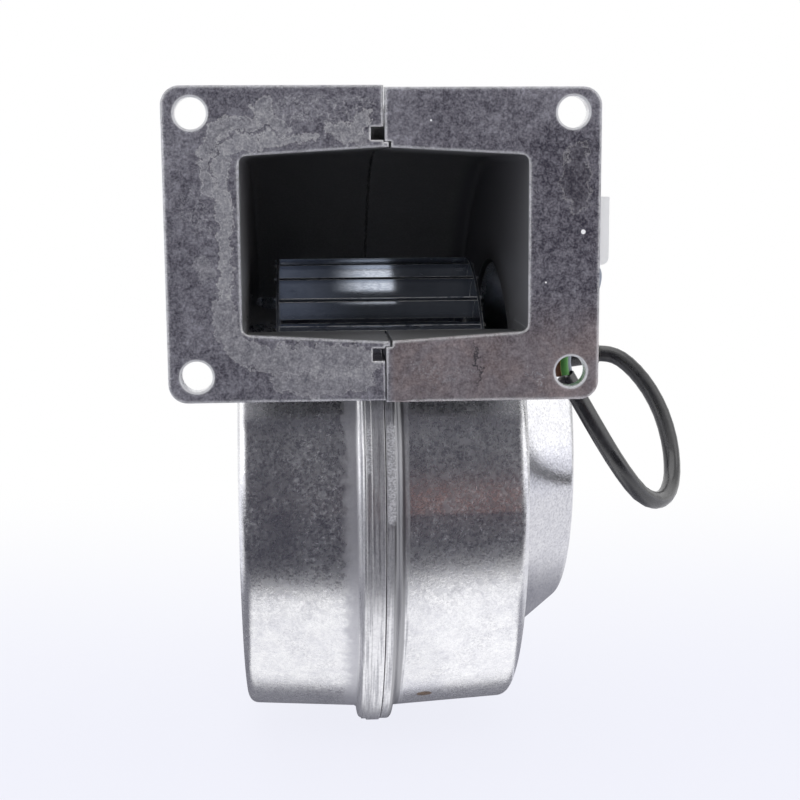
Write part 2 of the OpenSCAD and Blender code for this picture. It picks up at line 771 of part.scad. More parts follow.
// Round tube swept along a route, with its rings set across the local direction
function unit(v) = v / norm(v);
function heading(p, i) = unit(p[min(i + 1, len(p) - 1)] - p[max(i - 1, 0)]);
function tube_ring(c, t, plane, r, sides) =
    let (u = unit(cross(t, plane)), v = cross(t, u))
    [for (k = [0:sides - 1]) c + r * (cos(360 * k / sides) * u + sin(360 * k / sides) * v)];
module tube(route, plane, d, sides) {
    n = len(route);
    rings = [for (i = [0:n - 1]) tube_ring(route[i], heading(route, i), plane, d / 2, sides)];
    skin = [for (i = [0:n - 2], k = [0:sides - 1]) [
        i * sides + k, (i + 1) * sides + k, (i + 1) * sides + (k + 1) % sides, i * sides + (k + 1) % sides
    ]];
    first = [for (k = [0:sides - 1]) k];
    last = [for (k = [sides - 1:-1:0]) (n - 1) * sides + k];
    polyhedron([for (r = rings) each r], concat(skin, [first, last]));
}
module power_lead() { color([0.12, 0.12, 0.13]) tube(LEAD_ROUTE, LEAD_PLANE, lead_d, 12); }
module earth_core() { color("olivedrab") tube(EARTH_ROUTE, CORE_PLANE, core_d, 8); }
module live_core() { color("saddlebrown") tube(LIVE_ROUTE, CORE_PLANE, core_d, 8); }
module neutral_core() { color("steelblue") tube(NEUTRAL_ROUTE, CORE_PLANE, core_d, 8); }

// Connector block, screwed to the back of the flange
terminal_z = block_z + 4.5;
terminal_d = 3.4;
// Head of the screw that holds the block, sunk into it with room all round
block_head_d = 5.8;
block_head_h = 1.8;
block_head_room = 0.3;
block_head_sink = 2;
module at_terminals() {
    for (i = [0:2]) translate([core_x(i), flange_t + block_t, terminal_z]) rotate([-90, 0, 0]) children();
}
module at_block_screw() {
    translate([block_right - block_w / 2 - 3, flange_t + block_t, block_screw_z])
        rotate([-90, 0, 0]) children();
}
module block_screw_hole() {
    at_block_screw() translate([0, 0, -block_t - flange_t + 1.5])
        cylinder(d = block_screw_d + fit, h = far / 2);
}
module connector_block() {
    corner = 2;
    color("whitesmoke") difference() {
        into_depth(flange_t, flange_t + block_t) translate([block_right - block_w, block_z]) {
            translate([0, corner]) square([block_w, block_h - corner]);
            translate([corner, 0]) square([block_w - 2 * corner, block_h]);
            for (x = [corner, block_w - corner]) translate([x, corner]) circle(corner);
        }
        for (i = [0:2]) translate(core_entry(i) + [0, 0, -1])
            cylinder(d = core_d + 2 * core_room, h = core_depth + 2);
        at_terminals() translate([0, 0, -2.5]) cylinder(d = terminal_d + 0.4, h = 4);
        at_block_screw() translate([0, 0, -block_head_sink])
            cylinder(d = block_head_d + 2 * block_head_room, h = 2 * block_head_sink);
        at_block_screw() translate([0, 0, -far / 4]) cylinder(d = block_screw_d + 2 * screw_room, h = far);
    }
}
module terminal_screws() {
    color("goldenrod") at_terminals() difference() {
        translate([0, 0, -2.5]) cylinder(d = terminal_d, h = 1.8);
        translate([-terminal_d, -0.3, -1.4]) cube([2 * terminal_d, 0.6, 2]);
    }
}
module block_screw() {
    color("silver") at_block_screw() translate([0, 0, -block_head_sink])
        slotted_screw(block_screw_d, block_t - block_head_sink + flange_t - 1.6, block_head_d, block_head_h);
}

inlet_shell();
motor_shell();
clamp_screws();
impeller_blades();
front_ring();
back_disc();
disc_rivets();
rotor_bell();
rotor_core();
rotor_hub();
motor_shaft();
shaft_circlip();
front_bearing();
rear_bearing();
preload_washer();
motor_flange();
stator_core();
stator_insulators();
stator_windings();
motor_screws();
strain_relief();
power_lead();
earth_core();
live_core();
neutral_core();
connector_block();
terminal_screws();
block_screw();
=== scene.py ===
"""Looks of a single-inlet centrifugal fan around its CAD solids: camera, lead, finishes and studio."""

import logging
import math
from dataclasses import dataclass
from enum import Enum, IntEnum
from typing import Any

import bpy
from mathutils import Matrix, Vector


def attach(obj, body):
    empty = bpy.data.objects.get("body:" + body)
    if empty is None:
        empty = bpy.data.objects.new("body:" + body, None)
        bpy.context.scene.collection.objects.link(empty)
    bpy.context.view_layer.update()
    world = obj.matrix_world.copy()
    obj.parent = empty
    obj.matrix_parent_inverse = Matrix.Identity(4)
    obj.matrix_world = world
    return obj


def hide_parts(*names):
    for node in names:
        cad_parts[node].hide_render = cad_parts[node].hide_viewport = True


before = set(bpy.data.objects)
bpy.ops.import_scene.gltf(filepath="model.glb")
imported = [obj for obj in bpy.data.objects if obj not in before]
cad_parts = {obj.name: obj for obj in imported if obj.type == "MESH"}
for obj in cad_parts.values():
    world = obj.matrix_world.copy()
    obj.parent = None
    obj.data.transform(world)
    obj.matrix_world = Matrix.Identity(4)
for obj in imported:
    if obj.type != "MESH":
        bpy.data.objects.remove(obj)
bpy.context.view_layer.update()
LOG = logging.getLogger("fan")
MM = 0.001
SHAFT_Y = 0.08
SHAFT_Z = -0.068
Colour = tuple[float, float, float]
Point = tuple[float, float, float]
Pair = tuple[float, float]
Socket = bpy.types.NodeSocket
WHITE: Colour = (1.0, 1.0, 1.0)


class Body(Enum):
    """Moving bodies of the fan."""

    HOUSING = "housing"
    ROTOR = "rotor"


class Axis(IntEnum):
    """Axes of the frame, as the index into a vector."""

    X = 0
    Y = 1


class Lay(Enum):
    """Direction that the marks of a finish run in, as the stretch of its grain along X, Y and Z."""

    EVEN = (1.0, 1.0, 1.0)
    ALONG_SHAFT = (0.5, 1.0, 1.0)
    ROUND_SHAFT = (1.0, 0.12, 0.12)


class Graph:
    """A shader node tree with short ways to add nodes and join them.

    Where a method takes a value, a socket can stand in for it.
    """

    def __init__(self, tree: bpy.types.NodeTree) -> None:
        """Takes the tree that the nodes go into."""
        self.tree = tree

    def add(self, kind: str, inputs: dict[Any, Any] | None = None, **settings: Any) -> bpy.types.Node:
        """Adds a node.

        Args:
            kind: The node's type name without its ShaderNode prefix.
            inputs: Input name or index to a value, or to the socket that feeds it.
            settings: Properties of the node itself.

        Returns:
            The new node.
        """
        node = self.tree.nodes.new("ShaderNode" + kind)
        for name, value in settings.items():
            setattr(node, name, value)
        for key, value in (inputs or {}).items():
            if isinstance(value, Socket):
                self.join(value, node.inputs[key])
            elif isinstance(value, tuple) and len(value) == 3 and node.inputs[key].type == "RGBA":
                node.inputs[key].default_value = (*value, 1.0)
            else:
                node.inputs[key].default_value = value
        return node

    def join(self, source: Socket, target: Socket) -> None:
        """Lets one socket feed another."""
        self.tree.links.new(source, target)

    def math(self, operation: str, a: Any, b: Any = 0.0, clamp: bool = False) -> Socket:
        """Joins two values by one operation and returns the result, held between 0 and 1 by clamp."""
        return self.add("Math", {0: a, 1: b}, operation=operation, use_clamp=clamp).outputs[0]

    def times(self, a: Any, b: Any) -> Socket:
        """Returns the product of two values."""
        return self.math("MULTIPLY", a, b)

    def blend(self, share: Any, a: Any, b: Any) -> Socket:
        """Returns the colour that lies the given share of the way from a to b."""
        return self.add("Mix", {0: share, 6: a, 7: b}, data_type="RGBA").outputs[2]

    def between(self, share: Any, a: Any, b: Any) -> Socket:
        """Returns the value that lies the given share of the way from a to b."""
        return self.add("Mix", {0: share, 2: a, 3: b}, data_type="FLOAT").outputs[0]

    def step(self, value: Any, low: float, high: float) -> Socket:
        """Returns a smooth rise from 0 at low to 1 at high; with low above high it falls instead."""
        flip = low > high
        lo, hi = (high, low) if flip else (low, high)
        inputs = {0: value, 1: lo, 2: hi, 3: 1.0 if flip else 0.0, 4: 0.0 if flip else 1.0}
        return self.add("MapRange", inputs, interpolation_type="SMOOTHSTEP").outputs[0]

    def band(self, value: Any, low: float, high: float, soft: float) -> Socket:
        """Returns 1 between low and high, with a smooth fall to 0 over the soft distance at both ends."""
        return self.times(self.step(value, low - soft, low), self.step(value, high + soft, high))

    def total(self, *parts: tuple[Any, float]) -> Socket:
        """Returns the sum of values that each have their own weight, held between 0 and 1."""
        result: Any = 0.0
        for value, weight in parts:
            inputs = {0: value, 1: weight, 2: result}
            result = self.add("Math", inputs, operation="MULTIPLY_ADD").outputs[0]
        return self.math("ADD", result, 0.0, True)

    def noise(
        self, where: Socket, scale: Any, detail: float = 3.0, rough: float = 0.55, warp: float = 0.0
    ) -> Socket:
        """Returns a noise value from 0 to 1; the arguments are those of Pattern."""
        inputs = {"Vector": where, "Scale": scale, "Detail": detail, "Roughness": rough, "Distortion": warp}
        return self.add("TexNoise", inputs).outputs[0]

    def off_middle(self, value: Socket) -> Socket:
        """Returns how far a value is from one half."""
        return self.math("ABSOLUTE", self.math("SUBTRACT", value, 0.5))

    def stray(self, value: Socket, noise: Socket, reach: float) -> Socket:
        """Returns a value that noise moves by up to half the reach to either side."""
        return self.math("ADD", value, self.times(self.math("SUBTRACT", noise, 0.5), reach))

    def vector(self, operation: str, a: Any, b: Any) -> Socket:
        """Joins two vectors by one operation and returns the vector or value that it gives."""
        node = self.add("VectorMath", {0: a, 1: b}, operation=operation)
        return node.outputs["Value" if operation in ("DOT_PRODUCT", "DISTANCE") else "Vector"]

    def place(self) -> Socket:
        """Returns the Object coordinates."""
        return self.add("TexCoord").outputs["Object"]

    def stretch(self, where: Socket, scale: tuple) -> Socket:
        """Returns coordinates multiplied along X, Y and Z."""
        return self.add("Mapping", {"Vector": where, "Scale": scale}).outputs[0]

    def split(self, where: Socket) -> tuple[Socket, Socket, Socket]:
        """Returns the X, Y and Z of a vector."""
        out = self.add("SeparateXYZ", {0: where}).outputs
        return out[0], out[1], out[2]


@dataclass(frozen=True)
class Pattern:
    """Noise that is cut to a mask.

    Attributes:
        scale: How fine the noise is.
        cut: Noise values at which the mask starts and is full.
        detail: How many finer layers the noise has.
        rough: Strength of each finer layer.
        warp: How far it is bent.
    """

    scale: float
    cut: Pair
    detail: float = 3.0
    rough: float = 0.55
    warp: float = 0.0

    def mask(self, graph: Graph, where: Socket) -> Socket:
        """Returns the mask at the given coordinates."""
        return graph.step(graph.noise(where, self.scale, self.detail, self.rough, self.warp), *self.cut)


class Effects:
    """Shader effects that several finishes share."""

    FINE_LAYERS = (4.0, 0.65)
    BROAD_LAYERS = (3.0, 0.6)
    BROAD_SCALE = 0.11
    FINE_WEIGHT = 0.55
    BROAD_WEIGHT = 0.45
    TONE_CUT = (0.38, 0.68)
    STAIN_LAYERS = (6.0, 0.62, 0.35)
    SHARP = (0.985, 0.86)
    BREAKS = Pattern(420.0, (0.26, 0.48))

    @classmethod
    def grain(cls, graph: Graph, scale: float) -> tuple[Socket, Socket]:
        """Makes the fine speckle of a cast or moulded surface.

        Args:
            graph: The material's graph.
            scale: How fine it is.

        Returns:
            Its height and its tone.
        """
        where = graph.place()
        fine = graph.noise(where, scale, *cls.FINE_LAYERS)
        broad = graph.noise(where, scale * cls.BROAD_SCALE, *cls.BROAD_LAYERS)
        height = graph.math("ADD", graph.times(fine, cls.FINE_WEIGHT), graph.times(broad, cls.BROAD_WEIGHT))
        return height, graph.step(fine, *cls.TONE_CUT)

    @classmethod
    def stain(cls, graph: Graph, scale: float, level: float, softness: float, shift: float) -> Socket:
        """Makes blotches with a wavy edge.

        Args:
            graph: The material's graph.
            scale: How fine they are.
            level: Noise value at their edge.
            softness: Range of noise values over which they end.
            shift: Offset of the noise in metres.

        Returns:
            Their mask.
        """
        where = graph.vector("ADD", graph.place(), (shift,) * 3)
        above = graph.math("SUBTRACT", graph.noise(where, scale, *cls.STAIN_LAYERS), level)
        return graph.math("ADD", graph.math("DIVIDE", above, softness), 0.5, True)

    @classmethod
    def edge(cls, graph: Graph, reach: Any) -> tuple[Socket, Socket]:
        """Finds the sharp edges, which get a painted highlight that is partly rubbed wear.

        Args:
            graph: The material's graph.
            reach: How far from an edge the painted highlight goes, in metres.

        Returns:
            A broken mask that is 1 on sharp edges, and the normal rounded there.
        """
        rounded = graph.add("Bevel", {"Radius": reach}, samples=4).outputs[0]
        plain = graph.add("NewGeometry").outputs["Normal"]
        worn = graph.step(graph.vector("DOT_PRODUCT", rounded, plain), *cls.SHARP)
        return graph.times(worn, cls.BREAKS.mask(graph, graph.place())), rounded


class Finish:
    """Base of every finish: makes its material once and keeps it."""

    made: dict[str, bpy.types.Material] = {}
    name: str

    def material(self) -> bpy.types.Material:
        """Returns the finish's material, made on first use."""
        if self.name not in Finish.made:
            material = bpy.data.materials.new(self.name)
            material.use_nodes = True
            material.node_tree.nodes.clear()
            graph = Graph(material.node_tree)
            shader = graph.add("BsdfPrincipled")
            self.dress(graph, shader)
            graph.add("OutputMaterial", {"Surface": shader.outputs[0]})
            Finish.made[self.name] = material
        return Finish.made[self.name]

    def dress(self, graph: Graph, shader: bpy.types.Node) -> None:
        """Fills in the shader; each finish has its own way."""
        raise NotImplementedError

    @staticmethod
    def feed(graph: Graph, shader: bpy.types.Node, **values: Any) -> None:
        """Fills in inputs of the shader.

        Args:
            graph: The material's graph.
            shader: The shader.
            values: Sockets or plain values, by input name with underscores for its spaces.
        """
        for label, value in values.items():
            target = shader.inputs[label.replace("_", " ")]
            if isinstance(value, Socket):
                graph.join(value, target)
            else:
                target.default_value = value

    @staticmethod
    def bump(graph: Graph, height: Socket, depth: float, strength: float = 1.0, **base: Socket) -> Socket:
        """Returns the normal of a surface with that height on it; base can give the Normal below."""
        inputs = {"Height": height, "Distance": depth, "Strength": strength, **base}
        return graph.add("Bump", inputs).outputs[0]


@dataclass(frozen=True)
class Mark:
    """One mark on the flange face: an oxide patch, a stain, a tide line or a crack.

    Attributes:
        trail: Points along its middle, each across, up and half width in millimetres.
        tone: Strength; a pale mark is above 0 and a dark one below.
        rim: Strength of the pale line along its edge.
        lace: Whether only thin winding lines of it show.
    """

    trail: tuple[Point, ...]
    tone: float
    rim: float = 0.0
    lace: bool = False

    FAR = 100.0
    EDGE = (0.06, -0.08)
    RIM_INSET = 0.12
    RIM_WIDTH = (0.22, 0.06)

    def away(self, graph: Graph, flat: Socket) -> Socket:
        """Measures from the mark.

        Args:
            graph: The material's graph.
            flat: Place on the face in millimetres.

        Returns:
            The distance in millimetres from the mark's edge, below 0 inside it.
        """
        best: Any = self.FAR
        for (ax, az, ar), (bx, bz, br) in zip(self.trail, self.trail[1:]):
            run = Vector((bx - ax, 0.0, bz - az))
            off = graph.vector("SUBTRACT", flat, (ax, 0.0, az))
            along = graph.vector("DOT_PRODUCT", off, tuple(run / run.length_squared))
            share = graph.math("ADD", along, 0.0, True)
            near = graph.add("VectorMath", {0: tuple(run), "Scale": share}, operation="SCALE").outputs[0]
            width = graph.math("ADD", graph.times(share, br - ar), ar)
            gap = graph.math("SUBTRACT", graph.vector("DISTANCE", off, near), width)
            best = graph.math("MINIMUM", best, gap)
        return best


class Zone:
    """Limits of the castings' zones in metres.

    Each runs from where its mask starts to where it is full. One with three values is a band: its low end,
    its high end and the distance over which both fade. Those named TURN are for the Y of the normal.
    """

    FACE_Y = (0.0006, 0.0003)
    FLANGE_Y = (0.0045, 0.0035)
    # The back face of the flange, which gets painted shade.
    BACK_Y = (0.014, 0.011)
    BACK_TURN = (0.6, 0.8)
    # The inside of the duct and its far wall, which get painted shade.
    DUCT_X = (0.0396, 0.039)
    DUCT_Y = (0.081, 0.079)
    DUCT_Z = (0.0268, 0.0262)
    DUCT_TURN = (0.1, 0.02)
    FAR_WALL_X = (0.030, 0.036)
    RIM_Z = (-0.03, -0.04)
    STRIP_X = (0.0072, 0.0064)
    FOOT_X = (-0.0125, -0.0085)
    FOOT_END_X = (-0.0069, -0.0072)
    HEEL_X = (0.0026, 0.0054, 0.0005)
    MOTOR_LAND_X = (0.0007, 0.0027, 0.0002)
    MOTOR_LAND_Z = (-0.0745, -0.0495, 0.0012)
    INLET_LAND_X = (-0.0049, -0.0036, 0.0002)
    INLET_LAND_Z = (-0.0615, -0.0495, 0.0008)
    POT_X = (0.0405, 0.042)
    POT_Y = (0.010, 0.014)
    DIM_X = (0.034, 0.044)
    DIM_Z = (-0.020, 0.026, 0.008)
    # Where the painted brown reflection lies: the low part of the flange face on the motor side.
    BROWN_REFLECTION_X = (0.0, 0.003)
    BROWN_REFLECTION_Z = (-0.010, -0.030)


class Wear:
    """Noise patterns of the castings, the reach of their wear and of the painted edge highlight in metres,
    and the strength of their relief.
    """

    GRAIN = 1500.0
    BROAD = (42.0, 0.5, 0.2)
    CRISP = (150.0, 0.53, 0.07)
    CRISP_SHIFT = 0.31
    TALL = (1.0, 0.6, 0.6)
    DRAWN = (1.0, 0.03, 0.03)
    SQUAT = (0.6, 1.0, 1.0)
    MOTTLE = Pattern(620.0, (0.36, 0.66), 8.0, 0.80, 0.7)
    BLOTCH = Pattern(150.0, (0.43, 0.58), 9.0, 0.78, 0.7)
    CRINKLE = Pattern(1050.0, (0.45, 0.72), 8.0, 0.84, 0.5)
    CLOUD = Pattern(85.0, (0.38, 0.62), 5.0, 0.62, 0.4)
    LINES = Pattern(1500.0, (0.42, 0.6), 3.0, 0.6)
    PITS = Pattern(1250.0, (0.47, 0.60), 7.0, 0.8)
    CLUSTER = Pattern(110.0, (0.44, 0.62), 4.0, 0.6, 0.3)
    DASHES = Pattern(2600.0, (0.36, 0.64), 3.0, 0.6)
    FACE_MOTTLE = Pattern(460.0, (0.37, 0.65), 7.0, 0.78, 0.5)
    PATCHES = Pattern(95.0, (0.36, 0.60), 7.0, 0.68, 0.6)
    GAPS = Pattern(760.0, (0.35, 0.41), 5.0, 0.7)
    TORN = (1700.0, 4.0, 0.65)
    TORN_ACROSS = 0.0016
    TORN_UP = 0.009
    FRAYED = (260.0, 7.0, 0.7)
    FRAYED_ACROSS = 0.009
    LACE = (480.0, 4.0, 0.6, 0.8)
    LACE_CUT = (0.03, 0.008)
    BENDS = ((240.0, 9.0, 0.7, 0.0105), (1300.0, 4.0, 0.6, 0.0018))
    RUST = (900.0, 3.0)
    RUST_WAVE = 0.002
    RUST_SOFT = 0.0006
    # Reach of the painted highlight on sharp edges, on the walls and on the rim strip, and its strength on
    # the heel.
    EDGE_HIGHLIGHT_REACH = (0.0008, 0.0012)
    STRIP_HIGHLIGHT_REACH = 0.00035
    HEEL_HIGHLIGHT = 0.15
    RELIEF = 0.00009
    RELIEF_STRENGTH = 0.8
    CRISP_RELIEF = 0.12
    DUCT_RELIEF = 0.3


class Tint:
    """Colours of the castings; a pair is a zone's colour without and with the speckle on it."""

    # Painted shade: inside the duct the colour is darkened, more on its far wall, as little light gets in.
    DUCT_SHADED = ((0.36, 0.36, 0.365), (0.43, 0.43, 0.44))
    FAR_WALL_SHADE = (0.27, 0.27, 0.29)
    # Painted shade: the back face of the flange is darkened in colour.
    BACK_SHADE = (0.30, 0.30, 0.32)
    SPECK = (0.50, 0.50, 0.54)
    STRIP = ((0.98, 0.98, 1.0), (0.44, 0.44, 0.47))
    FOOT = (0.54, 0.54, 0.58)
    HEEL = (0.42, 0.42, 0.44)
    POT = (0.62, 0.62, 0.65)
    SCUFF = ((0.36, 0.36, 0.38), (0.74, 0.74, 0.77))
    RUST = (0.36, 0.24, 0.15)
    FACE = ((0.105, 0.10, 0.135), (0.74, 0.735, 0.815))
    # Painted reflection: brown as if mirrored from a warm-coloured thing in front, on the low part of the
    # flange face and inside its patches.
    BROWN_REFLECTION = ((0.25, 0.205, 0.21), (0.73, 0.63, 0.635))
    BROWN_REFLECTION_PATCH = ((0.20, 0.19, 0.215), (0.62, 0.60, 0.66))
    OXIDE = ((0.42, 0.425, 0.49), WHITE)
    DARK_MARK = (0.10, 0.095, 0.11)
    BORE = (0.66, 0.66, 0.69)


class Rough:
    """Roughness of the castings' zones; a pair is without and with the speckle."""

    CLEAN = (0.17, 0.26)
    SOILED = 0.36
    STRIP = (0.32, 0.45)
    FOOT = 0.42
    POT = 0.19
    DUCT_SHADED = 0.5
    FACE = (0.42, 0.54)
    EDGE = 0.25


class Metal:
    """Metal share of the castings' zones; a pair is without and with the film or the drawn lines."""

    WALL = (0.988, 0.44)
    STRIP = (0.94, 0.70)
    FOOT = 0.68
    HEEL = 1.0
    SCUFF = 0.35
    DUCT_SHADED = 0.6
    FACE = 0.73
    BORE = 0.45
    # Metal share of the painted highlight on sharp edges.
    EDGE = 0.9
    STRIP_EDGE = 0.4
    FACE_EDGE = 0.12


@dataclass(frozen=True)
class Soil:
    """Masks that the walls and the flange face of a casting share.

    Attributes:
        tone: Speckle of the grain.
        broad: Broad stains.
        crisp: Crisp stains.
    """

    tone: Socket
    broad: Socket
    crisp: Socket


@dataclass(frozen=True)
class CastFinish(Finish):
    """Bare die-cast aluminium: speckled walls, a dull flange face with oxide marks, and rubbed edges with a
    painted highlight.

    Attributes:
        name: Name of the material.
        marks: Marks on the flange face.
        dots: White paint dots on the flange face, each across, up and radius in millimetres.
        rust: Rust spots on the walls, each X, Y, Z and radius in millimetres.
        warm: How strongly the low part of the flange face gets a painted brown reflection.
        shift: Offset of the stains, so that the two halves differ.
        bolt: Place of a bolt hole, across and up in millimetres.
        light: Colour of the clean wall.
        dark: Colour of the stained wall.
    """

    name: str
    marks: tuple[Mark, ...] = ()
    dots: tuple[Point, ...] = ()
    rust: tuple[tuple[float, float, float, float], ...] = ()
    warm: float = 0.0
    shift: float = 0.0
    bolt: Pair = (49.5, 34.0)
    light: Colour = WHITE
    dark: Colour = (0.76, 0.76, 0.80)

    BORE_RING = (3.9, 4.6, 0.12)
    DOT_SOFT = 0.08
    IN_MM = (1000.0, 0.0, 1000.0)

    def dress(self, graph: Graph, shader: bpy.types.Node) -> None:
        """Fills in the shader of the casting."""
        where = graph.place()
        zones = self.zones(graph, where)
        height, tone = Effects.grain(graph, Wear.GRAIN)
        broad = Effects.stain(graph, *Wear.BROAD, self.shift)
        crisp = Effects.stain(graph, *Wear.CRISP, self.shift + Wear.CRISP_SHIFT)
        soil = Soil(tone, broad, crisp)
        strip, face, duct = zones["strip"], zones["face"], zones["duct"]
        # Painted highlight: sharp edges are whitened, partly as rubbed wear, and less so on the heel.
        reach = graph.between(zones["flange"], *Wear.EDGE_HIGHLIGHT_REACH)
        edge, rounded = Effects.edge(graph, graph.between(strip, reach, Wear.STRIP_HIGHLIGHT_REACH))
        bright = graph.times(edge, graph.between(zones["heel"], 1.0, Wear.HEEL_HIGHLIGHT))
        wall, wall_rough, wall_metal = self.wall(graph, where, zones, soil)
        # Painted shade: the inside of the duct is darkened in colour and dulled, more on its far wall.
        wall = graph.blend(duct, wall, graph.blend(tone, *Tint.DUCT_SHADED))
        wall = graph.blend(zones["far_wall"], wall, Tint.FAR_WALL_SHADE)
        # Painted shade on the back face of the flange.
        wall = graph.blend(zones["back"], wall, Tint.BACK_SHADE)
        wall_rough = graph.between(duct, wall_rough, Rough.DUCT_SHADED)
        wall_metal = graph.between(duct, wall_metal, Metal.DUCT_SHADED)
        front, front_rough, front_metal = self.front(graph, where, soil)
        colour = graph.blend(bright, graph.blend(face, wall, front), WHITE)
        rough = graph.between(bright, graph.between(face, wall_rough, front_rough), Rough.EDGE)
        wall_edge = graph.between(strip, Metal.EDGE, Metal.STRIP_EDGE)
        edge_metal = graph.between(face, wall_edge, Metal.FACE_EDGE)
        metal = graph.between(bright, graph.between(face, wall_metal, front_metal), edge_metal)
        relief = graph.math("ADD", height, graph.times(crisp, Wear.CRISP_RELIEF))
        relief = graph.times(relief, graph.between(duct, 1.0, Wear.DUCT_RELIEF))
        normal = self.bump(graph, relief, Wear.RELIEF, Wear.RELIEF_STRENGTH, Normal=rounded)
        self.feed(graph, shader, Base_Color=colour, Roughness=rough, Metallic=metal, Normal=normal)

    @staticmethod
    def zones(graph: Graph, where: Socket) -> dict[str, Socket]:
        """Finds the parts of a casting that look different.

        Args:
            graph: The material's graph.
            where: Object coordinates.

        Returns:
            Masks: the flange, its face and its back, the inside of the duct and its far wall, the motor pot,
                and on the seam below the duct the rim strip, the smooth foot, the heel and the scuffed lands;
                back and duct get painted shade.
        """
        x, y, z = graph.split(where)
        turned = graph.split(graph.add("NewGeometry").outputs["Normal"])[Axis.Y]
        wide = graph.step(graph.math("ABSOLUTE", x), *Zone.DUCT_X)
        high = graph.step(graph.math("ABSOLUTE", z), *Zone.DUCT_Z)
        inward = graph.math("MAXIMUM", graph.step(y, *Zone.DUCT_Y), graph.step(turned, *Zone.DUCT_TURN))
        duct = graph.times(graph.times(high, wide), inward)
        below = graph.step(z, *Zone.RIM_Z)
        torn = graph.noise(where, *Wear.TORN)
        across = graph.stray(x, torn, Wear.TORN_ACROSS)
        up = graph.stray(z, torn, Wear.TORN_UP)
        motor_land = graph.times(graph.band(across, *Zone.MOTOR_LAND_X), graph.band(up, *Zone.MOTOR_LAND_Z))
        inlet_land = graph.times(graph.band(across, *Zone.INLET_LAND_X), graph.band(up, *Zone.INLET_LAND_Z))
        frayed = graph.stray(x, graph.noise(where, *Wear.FRAYED), Wear.FRAYED_ACROSS)
        foot = graph.times(graph.step(frayed, *Zone.FOOT_X), graph.step(x, *Zone.FOOT_END_X))
        return {
            "flange": graph.step(y, *Zone.FLANGE_Y),
            "face": graph.step(y, *Zone.FACE_Y),
            "back": graph.times(graph.step(turned, *Zone.BACK_TURN), graph.step(y, *Zone.BACK_Y)),
            "duct": duct,
            "far_wall": graph.times(duct, graph.step(x, *Zone.FAR_WALL_X)),
            "pot": graph.times(graph.step(x, *Zone.POT_X), graph.step(y, *Zone.POT_Y)),
            "strip": graph.times(graph.step(graph.math("ABSOLUTE", x), *Zone.STRIP_X), below),
            "foot": graph.times(foot, below),
            "heel": graph.times(graph.band(x, *Zone.HEEL_X), below),
            "scuff": graph.math("MAXIMUM", motor_land, inlet_land),
        }

    def wall(
        self, graph: Graph, where: Socket, zones: dict[str, Socket], soil: Soil
    ) -> tuple[Socket, Socket, Socket]:
        """Makes the look of the walls, with drawn lines on the rim strip of the seam.

        Args:
            graph: The material's graph.
            where: Object coordinates.
            zones: Masks of the parts that look different.
            soil: Masks that the walls and the face share.

        Returns:
            Colour, roughness and metal share.
        """
        strip, foot, heel, pot, scuff = (zones[k] for k in ("strip", "foot", "heel", "pot", "scuff"))
        tall = graph.stretch(where, Wear.TALL)
        mottle = Wear.MOTTLE.mask(graph, where)
        blotch = Wear.BLOTCH.mask(graph, where)
        pits = Wear.PITS.mask(graph, where)
        lines = Wear.LINES.mask(graph, graph.stretch(where, Wear.DRAWN))
        dashes = Wear.DASHES.mask(graph, graph.stretch(where, Wear.SQUAT))

        stained = graph.total(
            (soil.broad, 0.10), (soil.crisp, 0.12), (blotch, 0.30), (mottle, 0.40), (soil.tone, 0.28)
        )
        colour = graph.blend(stained, self.light, self.dark)
        specks = graph.times(pits, Wear.CLUSTER.mask(graph, tall))
        colour = graph.blend(graph.times(specks, 0.55), colour, Tint.SPECK)
        streaks = graph.total((lines, 0.6), (mottle, 0.25), (soil.tone, 0.2))
        colour = graph.blend(strip, colour, graph.blend(streaks, *Tint.STRIP))
        colour = graph.blend(graph.times(foot, 0.75), colour, Tint.FOOT)
        colour = graph.blend(heel, colour, Tint.HEEL)
        colour = graph.blend(graph.times(pot, graph.between(pits, 0.15, 0.95)), colour, Tint.POT)
        colour = graph.blend(scuff, colour, graph.blend(dashes, *Tint.SCUFF))
        for x, y, z, radius in self.rust:
            away = graph.vector("DISTANCE", where, (x * MM, y * MM, z * MM))
            wavy = graph.math("SUBTRACT", away, graph.times(graph.noise(where, *Wear.RUST), Wear.RUST_WAVE))
            spot = graph.step(wavy, radius * MM, radius * MM - Wear.RUST_SOFT)
            colour = graph.blend(spot, colour, Tint.RUST)

        rough = graph.between(mottle, graph.between(soil.tone, *Rough.CLEAN), Rough.SOILED)
        rough = graph.between(strip, rough, graph.between(lines, *Rough.STRIP))
        rough = graph.between(graph.math("MAXIMUM", foot, heel), rough, Rough.FOOT)
        rough = graph.between(pot, rough, Rough.POT)

        film = graph.times(Wear.CRINKLE.mask(graph, where), graph.between(blotch, 0.6, 1.0))
        film = graph.times(film, graph.between(soil.tone, 0.5, 1.0))
        film = graph.times(film, graph.between(Wear.CLOUD.mask(graph, tall), 0.20, 1.45))
        metal = graph.between(strip, graph.between(film, *Metal.WALL), graph.between(lines, *Metal.STRIP))
        metal = graph.between(foot, metal, Metal.FOOT)
        metal = graph.between(scuff, graph.between(heel, metal, Metal.HEEL), Metal.SCUFF)
        return colour, rough, metal

